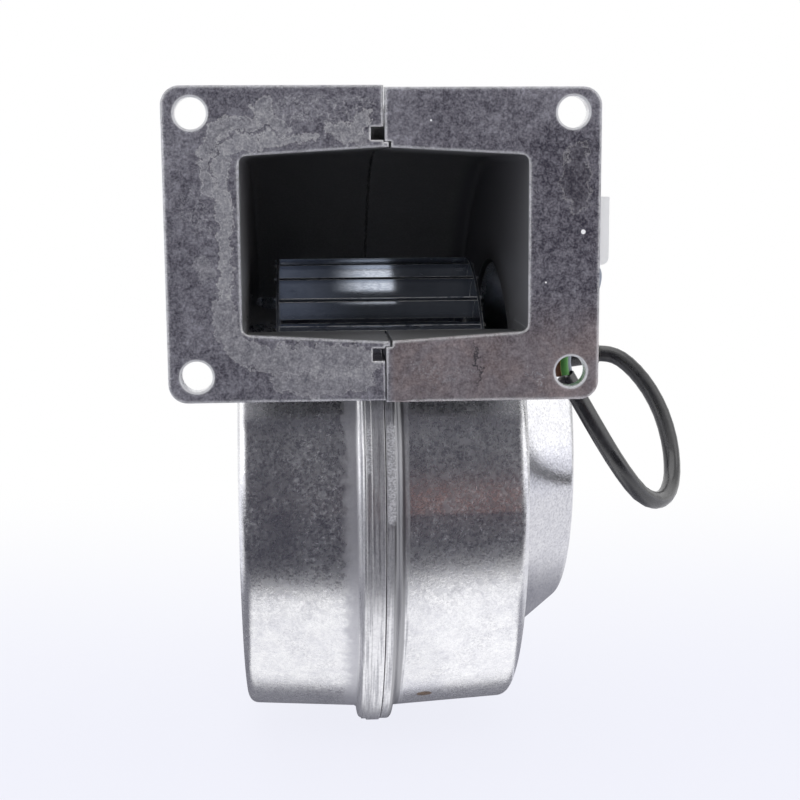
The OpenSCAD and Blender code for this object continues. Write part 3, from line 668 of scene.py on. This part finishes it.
    def front(self, graph: Graph, where: Socket, soil: Soil) -> tuple[Socket, Socket, Socket]:
        """Makes the look of the flange face.

        Args:
            graph: The material's graph.
            where: Object coordinates.
            soil: Masks that the walls and the face share.

        Returns:
            Colour, roughness and metal share.
        """
        x, _, z = graph.split(where)
        mottle = Wear.FACE_MOTTLE.mask(graph, where)
        dim = graph.times(graph.step(x, *Zone.DIM_X), graph.band(z, *Zone.DIM_Z))
        tone = graph.total(
            (soil.broad, 0.16), (mottle, 0.38), (soil.tone, 0.36), (soil.crisp, 0.10), (dim, -0.2)
        )
        patches = graph.times(Wear.PATCHES.mask(graph, where), 0.55)
        # Painted reflection: the low part of the flange face is tinted brown as if it mirrored a brown thing
        # in front.
        brown = graph.blend(tone, *Tint.BROWN_REFLECTION)
        brown = graph.blend(patches, brown, graph.blend(tone, *Tint.BROWN_REFLECTION_PATCH))
        low = graph.times(graph.step(z, *Zone.BROWN_REFLECTION_Z), graph.step(x, *Zone.BROWN_REFLECTION_X))
        colour = graph.blend(graph.times(low, self.warm), graph.blend(tone, *Tint.FACE), brown)
        speck = graph.times(graph.math("ADD", soil.tone, mottle), 0.5)
        colour = self.marked(graph, where, colour, graph.blend(speck, *Tint.OXIDE))

        plain = graph.vector("MULTIPLY", where, self.IN_MM)
        corner = graph.vector("ABSOLUTE", plain, (0.0, 0.0, 0.0))
        from_bolt = graph.vector("DISTANCE", corner, (self.bolt[0], 0.0, self.bolt[1]))
        bore = graph.band(from_bolt, *self.BORE_RING)
        colour = graph.blend(bore, colour, Tint.BORE)
        metal = graph.between(bore, Metal.FACE, Metal.BORE)
        for across, up, radius in self.dots:
            away = graph.vector("DISTANCE", plain, (across, 0.0, up))
            dot = graph.step(away, radius + self.DOT_SOFT, radius - self.DOT_SOFT)
            colour = graph.blend(dot, colour, WHITE)
            metal = graph.between(dot, metal, 0.0)
        return colour, graph.between(tone, *Rough.FACE), metal

    def marked(self, graph: Graph, where: Socket, colour: Socket, pale: Socket) -> Socket:
        """Lays the marks on the flange face.

        Args:
            graph: The material's graph.
            where: Object coordinates.
            colour: Colour of the face without them.
            pale: Colour of the pale marks.

        Returns:
            Colour of the face with them.
        """
        bent = where
        for scale, detail, rough, reach in Wear.BENDS:
            inputs = {"Vector": where, "Scale": scale, "Detail": detail, "Roughness": rough}
            off = graph.vector("SUBTRACT", graph.add("TexNoise", inputs).outputs["Color"], (0.5,) * 3)
            bent = graph.vector("ADD", bent, graph.vector("MULTIPLY", off, (reach,) * 3))
        flat = graph.vector("MULTIPLY", bent, self.IN_MM)
        gaps = Wear.GAPS.mask(graph, where)
        lace = graph.step(graph.off_middle(graph.noise(where, *Wear.LACE)), *Wear.LACE_CUT)
        for mark in self.marks:
            away = mark.away(graph, flat)
            mask = graph.times(graph.step(away, *mark.EDGE), lace if mark.lace else gaps)
            own = pale if mark.tone > 0 else Tint.DARK_MARK
            colour = graph.blend(graph.times(mask, abs(mark.tone)), colour, own)
            off_rim = graph.math("ABSOLUTE", graph.math("ADD", away, mark.RIM_INSET))
            line = graph.math("MULTIPLY", graph.step(off_rim, *mark.RIM_WIDTH), mark.rim, True)
            colour = graph.blend(line, colour, WHITE)
        return colour


@dataclass(frozen=True)
class MetalFinish(Finish):
    """Plated, rolled or ground metal with fine marks that run one way, and a painted highlight on sharp
    edges.

    Attributes:
        name: Name of the material.
        light: Colour of the bright marks.
        dark: Colour of the dull marks.
        lay: Direction of the marks.
        rough: Roughness of the bright and of the dull marks.
        scale: How fine the marks are.
        depth: Height of the marks in metres.
    """

    name: str
    light: Colour
    dark: Colour
    lay: Lay = Lay.EVEN
    rough: Pair = (0.25, 0.4)
    scale: float = 900.0
    depth: float = 0.00003

    LAYERS = (4.0, 0.6)
    CUT = (0.35, 0.65)
    DULL = Pattern(70.0, (0.42, 0.66), 4.0, 0.6)
    HIGHLIGHT_REACH = 0.0003
    HIGHLIGHT_METAL = 0.25

    def dress(self, graph: Graph, shader: bpy.types.Node) -> None:
        """Fills in the shader of the metal."""
        marks = graph.noise(graph.stretch(graph.place(), self.lay.value), self.scale, *self.LAYERS)
        dull = self.DULL.mask(graph, graph.place())
        # Painted highlight: sharp edges are whitened, partly as rubbed wear.
        edge, _ = Effects.edge(graph, self.HIGHLIGHT_REACH)
        share = graph.math("ADD", graph.times(graph.step(marks, *self.CUT), 0.5), graph.times(dull, 0.5))
        colour = graph.blend(edge, graph.blend(share, self.light, self.dark), WHITE)
        rough = graph.between(share, *self.rough)
        metal = graph.between(edge, 1.0, self.HIGHLIGHT_METAL)
        normal = self.bump(graph, marks, self.depth, 0.5)
        self.feed(graph, shader, Base_Color=colour, Roughness=rough, Metallic=metal, Normal=normal)


@dataclass(frozen=True)
class StackFinish(Finish):
    """Stacked electrical sheet with a line between the sheets.

    Attributes:
        name: Name of the material.
        sheet: Thickness of one sheet in metres.
    """

    name: str
    sheet: float = 0.0005

    LINE = (0.3, 0.48)
    RUST = Pattern(160.0, (0.5, 0.72), 5.0, 0.6)
    COLOURS = ((0.42, 0.42, 0.44), (0.13, 0.13, 0.14))
    RUST_COLOUR = (0.23, 0.13, 0.08)
    ROUGH = (0.38, 0.65)
    DEPTH = 0.00008

    def dress(self, graph: Graph, shader: bpy.types.Node) -> None:
        """Fills in the shader of the stack."""
        x, _, _ = graph.split(graph.place())
        saw = graph.math("FRACT", graph.math("DIVIDE", x, self.sheet))
        line = graph.step(graph.off_middle(saw), *self.LINE)
        rust = self.RUST.mask(graph, graph.place())
        colour = graph.blend(line, *self.COLOURS)
        colour = graph.blend(graph.times(rust, 0.35), colour, self.RUST_COLOUR)
        rough = graph.between(rust, *self.ROUGH)
        normal = self.bump(graph, graph.math("SUBTRACT", 1.0, line), self.DEPTH)
        self.feed(graph, shader, Base_Color=colour, Roughness=rough, Metallic=0.9, Normal=normal)


@dataclass(frozen=True)
class WindingFinish(Finish):
    """Enamelled copper wire laid side by side round the shaft.

    Attributes:
        name: Name of the material.
        wire: Thickness of one wire in metres.
    """

    name: str
    wire: float = 0.0006

    DRIFT = (220.0, 2.0)
    DRIFT_REACH = 0.0012
    LINE = (0.25, 0.5)
    COLOURS = ((0.62, 0.25, 0.09), (0.22, 0.07, 0.03))
    DEPTH = 0.0003

    def dress(self, graph: Graph, shader: bpy.types.Node) -> None:
        """Fills in the shader of the wire."""
        where = graph.place()
        x, y, z = graph.split(where)
        off_shaft = {1: graph.math("SUBTRACT", y, SHAFT_Y), 2: graph.math("ADD", z, -SHAFT_Z)}
        out = graph.add("CombineXYZ", off_shaft).outputs[0]
        radius = graph.add("VectorMath", {0: out}, operation="LENGTH").outputs["Value"]
        drift = graph.times(graph.noise(where, *self.DRIFT), self.DRIFT_REACH)
        turn = graph.math("DIVIDE", graph.math("ADD", graph.math("ADD", x, radius), drift), self.wire)
        wave = graph.off_middle(graph.math("FRACT", turn))
        colour = graph.blend(graph.step(wave, *self.LINE), *self.COLOURS)
        normal = self.bump(graph, graph.math("SUBTRACT", 0.5, wave), self.DEPTH)
        self.feed(graph, shader, Base_Color=colour, Roughness=0.32, Metallic=0.7, Normal=normal)


@dataclass(frozen=True)
class SoftFinish(Finish):
    """Moulded plastic or rubber with a fine matt grain and dust.

    Attributes:
        name: Name of the material.
        colour: Main colour.
        dust: Colour of the dust in the grain.
        rough: Roughness of the clean surface.
        scale: How fine the grain is.
        gloss: Strength of its mirror.
    """

    name: str
    colour: Colour
    dust: Colour
    rough: float = 0.5
    scale: float = 1400.0
    gloss: float = 0.5

    FILM = (90.0, 0.56, 0.2, 0.4)
    DUST_ROUGH = 0.2
    DEPTH = 0.00006

    def dress(self, graph: Graph, shader: bpy.types.Node) -> None:
        """Fills in the shader of the moulding."""
        height, tone = Effects.grain(graph, self.scale)
        film = Effects.stain(graph, *self.FILM)
        share = graph.math("ADD", graph.times(film, 0.3), graph.times(tone, 0.2))
        colour = graph.blend(share, self.colour, self.dust)
        rough = graph.between(film, self.rough, min(1.0, self.rough + self.DUST_ROUGH))
        normal = self.bump(graph, height, self.DEPTH, 0.5)
        shader.inputs["Specular IOR Level"].default_value = self.gloss
        self.feed(graph, shader, Base_Color=colour, Roughness=rough, Normal=normal)


@dataclass(frozen=True)
class CoreFinish(Finish):
    """Insulated core, plain or with a stripe along it.

    Attributes:
        name: Name of the material.
        colour: Main colour.
        stripe: Colour of the stripe.
        width: Share of the way round that the stripe takes.
    """

    name: str
    colour: Colour
    stripe: Colour
    width: float = 0.0

    SOFT = 0.01
    GRAIN = 2200.0
    SHADE = (0.02, 0.02, 0.02)
    DEPTH = 0.00004

    def dress(self, graph: Graph, shader: bpy.types.Node) -> None:
        """Fills in the shader of the core."""
        around = graph.split(graph.add("UVMap").outputs[0])[Axis.Y]
        half = self.width / 2
        band = graph.step(graph.off_middle(around), half + self.SOFT, half - self.SOFT)
        height, tone = Effects.grain(graph, self.GRAIN)
        base = graph.blend(band, self.colour, self.stripe)
        colour = graph.blend(graph.times(tone, 0.15), base, self.SHADE)
        normal = self.bump(graph, height, self.DEPTH, 0.4)
        self.feed(graph, shader, Base_Color=colour, Roughness=0.4, Normal=normal)


INLET_MARKS = (
    Mark(((-41.8, -14, 2.4), (-41.8, -21.5, 2.8), (-38.5, -26.5, 3.2), (-32.5, -29.5, 3.6), (-21.5, -30, 4),
          (-6, -31, 4.2)), 0.62, 0.48),
    Mark(((-27.5, -35.5, 2.2), (-21.5, -36.5, 2.8), (-5.5, -35, 3.2)), 0.5, 0.48),
    Mark(((-45, 14, 1.2), (-46.5, 20, 1.5), (-46, 24.5, 1.6), (-42, 30.5, 1.4), (-36, 31.5, 1.9),
          (-30.5, 32, 2.2), (-26, 30.5, 1.9)), 0.62, 0.72),
    Mark(((-30.5, 32, 2.2), (-30.5, 36, 2.2)), 0.6, 0.72),
    Mark(((-5, 32, 2.2), (-9, 28.5, 2.2), (-13.5, 30, 1.8)), 0.7, 0.8),
    Mark(((-12.5, 27.5, 1.2), (-5, 27.3, 1.3)), 0.6, 0.32),
    Mark(((-41.5, -12, 2), (-41, -4, 1.9), (-41.5, 6.5, 1.7), (-42, 15, 1.8), (-42, 21, 2.1),
          (-41, 24.5, 2.2), (-37, 26.5, 2.2), (-30.5, 26.5, 1.9), (-24.5, 27, 1.1), (-18, 28, 0.8)),
         0.9, 0.64),
    Mark(((-25, 35, 3), (-14, 34.5, 4), (-5, 35, 3)), 0.9, lace=True),
    Mark(((-50, 11, 3), (-47, 6, 3.5)), 0.7, lace=True),
    Mark(((-48, -4.5, 1.7), (-46.5, -7, 1.9)), 0.5),
)
MOTOR_MARKS = (
    Mark(((51, 24, 2.5), (50, 16, 4), (51, 11, 3)), -0.3, 0.48),
    Mark(((25.4, 37.6, 0.1), (19.9, 31.9, 0.1), (22.2, 28.6, 0.1)), 0.5),
    Mark(((23, -26, 0.2), (25.4, -32.2, 0.3), (24.3, -37.9, 0.15)), -0.95),
    Mark(((9, -32.5, 2.2), (16, -34.5, 2.8), (23, -33.5, 1.6)), 0.5, lace=True),
    Mark(((38.5, -34, 1.6), (42.5, -38, 1.4)), 1.0, lace=True),
)
MOTOR_DOTS = ((52.4, 3, 0.62), (12.3, 32, 0.25), (42.6, -10.2, 0.25))
MOTOR_RUST = ((13.3, 40, -137, 1.6),)
INLET_CAST = CastFinish("cast_inlet_half", INLET_MARKS, shift=0.13)
MOTOR_CAST = CastFinish("cast_motor_half", MOTOR_MARKS, MOTOR_DOTS, MOTOR_RUST, warm=1.0, shift=0.57)
FLANGE_CAST = CastFinish("cast_motor_flange", shift=0.9)
GALVANISED = MetalFinish(
    "galvanised_sheet", (0.56, 0.60, 0.67), (0.36, 0.40, 0.47), Lay.ALONG_SHAFT, (0.16, 0.28), 1600.0, 0.00004
)
PLATED = MetalFinish("zinc_plated", (0.70, 0.70, 0.69), (0.50, 0.50, 0.48), rough=(0.25, 0.42))
GROUND = MetalFinish(
    "ground_steel", (0.72, 0.72, 0.73), (0.55, 0.55, 0.57), Lay.ROUND_SHAFT, (0.18, 0.3), 2200.0
)
BLACKED = MetalFinish(
    "blacked_steel", (0.10, 0.10, 0.105), (0.055, 0.055, 0.06), rough=(0.35, 0.5), scale=1100.0
)
BRIGHT_BRASS = MetalFinish("bright_brass", (0.75, 0.60, 0.28), (0.55, 0.42, 0.18), rough=(0.22, 0.35))
STACKED = StackFinish("stacked_sheet")
COPPER = WindingFinish("copper_windings")
WHITE_MOULD = SoftFinish("white_moulding", (1.0, 1.0, 0.99), (0.95, 0.95, 0.94), 0.45)
RUBBER = SoftFinish("black_sheath", (0.014, 0.014, 0.016), (0.055, 0.055, 0.060), 0.22, 900.0, 1.0)
EARTH = CoreFinish("earth_insulation", (0.10, 0.34, 0.07), (0.75, 0.70, 0.10), 0.36)
LIVE = CoreFinish("live_insulation", (0.20, 0.09, 0.045), (0.2, 0.09, 0.05))
NEUTRAL = CoreFinish("neutral_insulation", (0.33, 0.37, 0.44), (0.33, 0.37, 0.44))


@dataclass(frozen=True)
class FitCamera:
    """Camera at the place and angle that the flange, seam and impeller give.

    Attributes:
        place: Position in metres.
        pitch: Tilt below the horizon in degrees.
        yaw: Turn towards the motor side in degrees.
        roll: Turn about the line of sight in degrees.
        focal_px: Focal length in pixels.
        image_px: Width of the image that it holds for.
        sensor: Width of the sensor in millimetres.
        nearest: Distance in metres from which the camera sees.
    """

    place: Point = (-0.02239, -0.38552, 0.01952)
    pitch: float = 8.893
    yaw: float = 3.89
    roll: float = 0.353
    focal_px: float = 1474.144
    image_px: float = 800.0
    sensor: float = 36.0
    nearest: float = 0.01

    def build(self) -> bpy.types.Object:
        """Returns the scene's camera."""
        pitch, yaw, roll = (math.radians(v) for v in (self.pitch, self.yaw, self.roll))
        level = math.cos(pitch)
        ahead = Vector((math.sin(yaw) * level, math.cos(yaw) * level, -math.sin(pitch)))
        right = Vector((math.cos(yaw), -math.sin(yaw), 0.0))
        down = ahead.cross(right)
        across = math.cos(roll) * right + math.sin(roll) * down
        below = math.cos(roll) * down - math.sin(roll) * right
        data = bpy.data.cameras.new("camera")
        data.sensor_width = self.sensor
        data.lens = self.sensor * self.focal_px / self.image_px
        data.clip_start = self.nearest
        camera = bpy.data.objects.new("camera", data)
        turn = Matrix((across, -below, -ahead)).transposed().to_4x4()
        camera.matrix_world = Matrix.Translation(self.place) @ turn
        bpy.context.scene.collection.objects.link(camera)
        bpy.context.scene.camera = camera
        return camera


def through(points: tuple[Point, ...], per_span: int) -> list[Vector]:
    """Rounds a route of points.

    Args:
        points: Route in millimetres.
        per_span: Points to make of each span.

    Returns:
        Points of a smooth line through the route, in metres.
    """
    knots = [Vector(p) * MM for p in points]
    knots = [2 * knots[0] - knots[1], *knots, 2 * knots[-1] - knots[-2]]
    line = []
    for a, b, c, d in zip(knots, knots[1:], knots[2:], knots[3:]):
        bend = 2 * a - 5 * b + 4 * c - d
        twist = 3 * b - a - 3 * c + d
        for i in range(per_span):
            t = i / per_span
            line.append(0.5 * (2 * b + (c - a) * t + bend * t**2 + twist * t**3))
    return [*line, knots[-2]]


@dataclass
class Lead:
    """Sheathed lead from the motor pot to the connector block, with its three cores.

    Attributes:
        sheath: Route of the sheath in millimetres, from the strain relief on.
        live: Route of the brown core.
        earth: Route of the green and yellow core.
        neutral: Route of the grey blue core.
        sheath_d: Diameter of the sheath in metres.
        core_d: Diameter of a core in metres.
        sheath_spans: Points to make of each span of the sheath's route.
        core_spans: Points to make of each span of a core's route.
    """

    sheath: tuple[Point, ...] = (
        (71.8, 71.5, -38.3), (75, 71.3, -38.6), (78.5, 70, -40), (82.5, 67.5, -43.6), (86.5, 64.5, -49.2),
        (89.5, 61, -56), (91, 56.5, -63.5), (90.8, 51.5, -70), (89, 45, -74.6), (85.4, 37.5, -77),
        (80.4, 30, -76.6), (74.4, 23.2, -72.8), (68, 18, -65.2), (61.6, 15, -55.6), (54.6, 14, -43.8),
        (50.6, 13.6, -37),
    )
    live: tuple[Point, ...] = (
        (49.2, 14.4, -37.2), (48.5, 14.3, -33.5), (46.6, 13.6, -27), (45.2, 11.4, -18), (45.2, 9.5, -10),
        (45.2, 9.5, -6), (45.2, 9.5, -2),
    )
    earth: tuple[Point, ...] = (
        (50.3, 12.3, -36.6), (49.9, 12.2, -33), (50.2, 11.8, -27), (51, 10.6, -18), (51.2, 9.5, -10),
        (51.2, 9.5, -6), (51.2, 9.5, -2),
    )
    neutral: tuple[Point, ...] = (
        (51.5, 14.4, -35.9), (51.2, 15, -32.5), (52.6, 14.6, -26), (56, 12.4, -18.6), (58, 10.6, -12.8),
        (58.4, 9.7, -8.8), (57.2, 9.5, -6), (57.2, 9.5, -2),
    )
    sheath_d: float = 0.0051
    core_d: float = 0.0022
    sheath_spans: int = 2
    core_spans: int = 4

    def cord(self, name: str, line: list[Vector], diameter: float, finish: Finish, node: str) -> None:
        """Lays one round cord along its route.

        Args:
            name: Name of the piece.
            line: Points in metres.
            diameter: Diameter in metres.
            finish: Its finish.
            node: CAD node that it stands for.
        """
        data = bpy.data.curves.new(name, "CURVE")
        data.dimensions = "3D"
        data.bevel_depth = diameter / 2
        data.bevel_resolution = 5
        data.use_fill_caps = True
        data.resolution_u = 4
        spline = data.splines.new("POLY")
        spline.points.add(len(line) - 1)
        for point, place in zip(spline.points, line):
            point.co = (*place, 1.0)
        spline.use_smooth = True
        piece = bpy.data.objects.new(name, data)
        bpy.context.scene.collection.objects.link(piece)
        data.materials.append(finish.material())
        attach(piece, Body.HOUSING.value)
        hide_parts(node)

    def build(self) -> None:
        """Lays the sheath and the cores."""
        sheath = through(self.sheath, self.sheath_spans)
        earth, live, neutral = (through(r, self.core_spans) for r in (self.earth, self.live, self.neutral))
        self.cord("lead_sheath", sheath, self.sheath_d, RUBBER, "power_lead")
        self.cord("lead_earth_core", earth, self.core_d, EARTH, "earth_core")
        self.cord("lead_live_core", live, self.core_d, LIVE, "live_core")
        self.cord("lead_neutral_core", neutral, self.core_d, NEUTRAL, "neutral_core")


@dataclass
class Solids:
    """The rigid pieces, which keep their CAD shape and get their finish.

    Attributes:
        finishes: Each CAD node and its finish.
    """

    finishes: tuple[tuple[str, Finish], ...] = (
        ("inlet_shell", INLET_CAST), ("motor_shell", MOTOR_CAST), ("clamp_screws", PLATED),
        ("impeller_blades", GALVANISED), ("front_ring", GALVANISED), ("back_disc", GALVANISED),
        ("disc_rivets", PLATED), ("rotor_bell", BLACKED), ("rotor_core", STACKED), ("rotor_hub", GROUND),
        ("motor_shaft", GROUND), ("shaft_circlip", BLACKED), ("front_bearing", GROUND),
        ("rear_bearing", GROUND), ("preload_washer", GROUND), ("motor_flange", FLANGE_CAST),
        ("stator_core", STACKED), ("stator_insulators", WHITE_MOULD), ("stator_windings", COPPER),
        ("motor_screws", PLATED), ("strain_relief", RUBBER), ("connector_block", WHITE_MOULD),
        ("terminal_screws", BRIGHT_BRASS), ("block_screw", PLATED),
    )

    def dress(self) -> None:
        """Gives each solid its finish."""
        for node, finish in self.finishes:
            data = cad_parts[node].data
            data.materials.clear()
            data.materials.append(finish.material())
            LOG.info("%s has %s", node, finish.name)


@dataclass(frozen=True)
class Fade:
    """Change of a paper's colour along one axis; its own light takes over where the change ends.

    Attributes:
        axis: The axis.
        start: Where the first colour ends, in metres.
        end: Where the last colour starts.
        first: Colour before the change.
        last: Colour after it.
    """

    axis: Axis
    start: float
    end: float
    first: Colour
    last: Colour


@dataclass(frozen=True)
class Mirrored:
    """A card that only reflections show.

    Attributes:
        name: Name of the card.
        centre: Its middle in metres.
        size: Its width and length in metres.
        light: Its own light.
        turn: Its tilt about X in degrees.
        fade: Change of its light across it.
    """

    name: str
    centre: Point
    size: Pair
    light: Colour
    turn: float = 0.0
    fade: Fade | None = None


UPRIGHT = 90.0
TABLE_Z = -0.1578
ROOM_EDGE = -0.042
ROOM_DEPTH = 1.3
ROOM_WIDTH = 1.6
LEFT_END = 0.045
DARK_ROOM: Colour = (0.046, 0.045, 0.060)
WARM_EDGE: Colour = (0.250, 0.155, 0.145)
BRIGHT: Colour = (1.08, 1.08, 1.10)
# Painted shadow: grey of the table where the fan shades it, which the floor paper does not show to
# reflections. The cards under the fan use it, and so does the one beside its left side.
UNDER: Colour = (0.19, 0.19, 0.22)
# Painted shade: the dark of the hollow under the blades, which they mirror.
HOLLOW_SHADE: Colour = (0.040, 0.041, 0.045)
REFLECTIONS = (
    Mirrored("dark_table", (0.0, (ROOM_EDGE - ROOM_DEPTH) / 2, TABLE_Z + 0.001),
             (ROOM_WIDTH, ROOM_DEPTH + ROOM_EDGE), DARK_ROOM),
    Mirrored("dark_wall", (0.0, -ROOM_DEPTH, TABLE_Z + 0.65), (ROOM_WIDTH, 1.3), DARK_ROOM, UPRIGHT),
    Mirrored("warm_table", (0.24, -0.87, TABLE_Z + 0.002), (0.34, 0.86), WARM_EDGE),
    Mirrored("warm_wall", (0.32, -ROOM_DEPTH + 0.005, TABLE_Z + 0.05), (0.30, 0.10), WARM_EDGE, UPRIGHT),
    Mirrored("bright_left", (-0.139, (ROOM_EDGE + LEFT_END) / 2, TABLE_Z + 0.0005),
             (0.322, LEFT_END - ROOM_EDGE), (0.98, 0.98, 1.0)),
    Mirrored("bright_right", (0.161, -0.0255, TABLE_Z + 0.0015), (0.278, 0.157), BRIGHT,
             fade=Fade(Axis.Y, -0.084, -0.033, DARK_ROOM, BRIGHT)),
    # Cards of painted shadow under the fan, which the metal mirrors.
    Mirrored("shadow_under_left", (-0.038, 0.16, TABLE_Z + 0.0007), (0.084, 0.23), UNDER),
    Mirrored("shadow_under_right", (0.030, 0.162, TABLE_Z + 0.0017), (0.052, 0.226), UNDER),
    Mirrored("shadow_under_pot", (0.200, 0.115, TABLE_Z + 0.0016), (0.280, 0.27), UNDER,
             fade=Fade(Axis.X, 0.088, 0.134, (0.31, 0.31, 0.35), (0.82, 0.82, 0.86))),
    # Painted shade and light inside the fan: a dark card under the blades, lighter towards -X, and a glowing
    # card at the top of the rotor bell that stands for its lit top, which the blades mirror as a highlight.
    Mirrored("inner_shade_card", (-0.001, 0.070, -0.0335), (0.064, 0.032), HOLLOW_SHADE,
             fade=Fade(Axis.X, -0.033, 0.0, (0.12, 0.13, 0.16), HOLLOW_SHADE)),
    Mirrored("bell_glow_card", (-0.0028, 0.0720, -0.0332), (0.0205, 0.017), BRIGHT,
             fade=Fade(Axis.X, -0.0130, 0.0015, (0.062, 0.066, 0.078), BRIGHT)),
    Mirrored("left_side", (-0.108, 0.095, TABLE_Z + 0.0012), (0.104, 0.31), UNDER),
)


@dataclass
class Studio:
    """White table and backdrop, large soft boxes, what the metal mirrors in front of it, and cards of painted
    shadow under the fan and of painted shade and light inside it.

    Attributes:
        room: Width and depth of the table and height of the backdrop in metres.
        table: Colour of the near part of the table.
        table_own: Share of the table's own light.
        table_fade: Depths between which the table turns white.
        sky: Light of the sky on the fan; to the camera it is white.
        aim: Point that the soft boxes face.
        box: Width and height of a soft box in metres.
        boxes: Name, place and brightness of each soft box, where 1 is white.
    """

    room: Point = (8.0, 5.0, 4.0)
    table: Colour = (0.896, 0.904, 0.985)
    table_own: float = 0.92
    table_fade: Pair = (0.04, 0.45)
    sky: float = 0.6
    aim: Point = (0.0, 0.05, -0.06)
    box: Pair = (1.4, 1.4)
    boxes: tuple[tuple[str, Point, float], ...] = (
        ("right_box", (1.2, -0.35, 0.35), 0.72),
        ("left_box", (-1.2, -0.35, 0.35), 0.95),
        ("top_box", (0.0, 0.2, 1.3), 0.9),
    )

    @staticmethod
    def paper(name: str, colour: Colour, own: float, fade: Fade | None = None) -> bpy.types.Material:
        """Makes a paper that shows its own colour to the camera and to reflections, and keeps shadows.

        Args:
            name: Name of the material.
            colour: Colour of the paper.
            own: Share of its own light.
            fade: Change of its colour.

        Returns:
            The material.
        """
        material = bpy.data.materials.new(name)
        material.use_nodes = True
        material.node_tree.nodes.clear()
        graph = Graph(material.node_tree)
        path = graph.add("LightPath").outputs
        seen = graph.math("MAXIMUM", path["Is Glossy Ray"], path["Is Transmission Ray"])
        seen = graph.times(graph.math("MAXIMUM", path["Is Camera Ray"], seen), own)
        shade: Any = colour
        if fade:
            share = graph.step(graph.split(graph.place())[fade.axis], fade.start, fade.end)
            shade = graph.blend(share, fade.first, fade.last)
            seen = graph.between(share, seen, graph.step(seen, 0.0, 0.5))
        plain = graph.add("BsdfDiffuse", {"Color": shade}).outputs[0]
        shown = graph.add("Emission", {"Color": shade}).outputs[0]
        shader = graph.add("MixShader", {0: seen, 1: plain, 2: shown}).outputs[0]
        graph.add("OutputMaterial", {"Surface": shader})
        return material

    @staticmethod
    def card(
        name: str, centre: Point, size: Pair, turn: float, paper: bpy.types.Material
    ) -> bpy.types.Object:
        """Sets up a flat card.

        Args:
            name: Name of the card.
            centre: Its middle in metres.
            size: Its width and length in metres.
            turn: Its tilt about X in degrees; 0 lies flat.
            paper: Its material.

        Returns:
            The card.
        """
        tilt = (math.radians(turn), 0.0, 0.0)
        bpy.ops.mesh.primitive_plane_add(size=1.0, location=centre, rotation=tilt)
        card = bpy.context.object
        card.name = name
        card.scale = (*size, 1.0)
        bpy.ops.object.transform_apply(location=True, rotation=True, scale=True)
        card.data.materials.append(paper)
        return card

    def mirror(self, plan: Mirrored) -> None:
        """Sets up a card that only reflections show."""
        paper = self.paper(plan.name, plan.light, 1.0, plan.fade)
        card = self.card(plan.name, plan.centre, plan.size, plan.turn, paper)
        card.visible_camera = False
        card.visible_diffuse = False
        card.visible_transmission = False
        card.visible_shadow = False

    def soft_box(self, name: str, place: Point, light: float) -> None:
        """Hangs one soft box.

        Args:
            name: Name of the lamp.
            place: Its position in metres.
            light: Brightness of its face, where 1 is white.
        """
        data = bpy.data.lights.new(name, "AREA")
        data.shape = "RECTANGLE"
        data.size, data.size_y = self.box
        data.energy = light * math.pi * self.box[0] * self.box[1]
        lamp = bpy.data.objects.new(name, data)
        lamp.location = place
        lamp.rotation_euler = (Vector(self.aim) - Vector(place)).to_track_quat("-Z", "Y").to_euler()
        bpy.context.scene.collection.objects.link(lamp)

    def light_sky(self) -> None:
        """Sets up the sky, which the camera sees brighter than the fan does."""
        world = bpy.data.worlds.new("studio")
        world.use_nodes = True
        graph = Graph(world.node_tree)
        background = world.node_tree.nodes["Background"]
        background.inputs["Color"].default_value = (*WHITE, 1.0)
        shown = graph.add("LightPath").outputs["Is Camera Ray"]
        graph.join(graph.between(shown, self.sky, 1.0), background.inputs["Strength"])
        bpy.context.scene.world = world

    def build(self) -> None:
        """Sets up the table, the backdrop, the cards, the sky and the lamps."""
        width, depth, height = self.room
        fade = Fade(Axis.Y, *self.table_fade, self.table, WHITE)
        paper = self.paper("pale_paper", self.table, self.table_own, fade)
        self.card("floor", (0.0, 0.0, TABLE_Z), (width, depth), 0.0, paper)
        wall = self.paper("white_wall", WHITE, 1.0)
        self.card("backdrop", (0.0, depth / 2, height / 2 + TABLE_Z), (width, height), UPRIGHT, wall)
        for plan in REFLECTIONS:
            self.mirror(plan)
        self.light_sky()
        for name, place, light in self.boxes:
            self.soft_box(name, place, light)


def main() -> None:
    """Builds the fan's looks in order."""
    logging.basicConfig(level=logging.INFO, format="%(message)s")
    bpy.ops.object.select_all(action="DESELECT")
    bpy.context.scene.view_settings.view_transform = "Standard"
    FitCamera().build()
    Lead().build()
    Solids().dress()
    Studio().build()


if __name__ == "__main__":
    main()
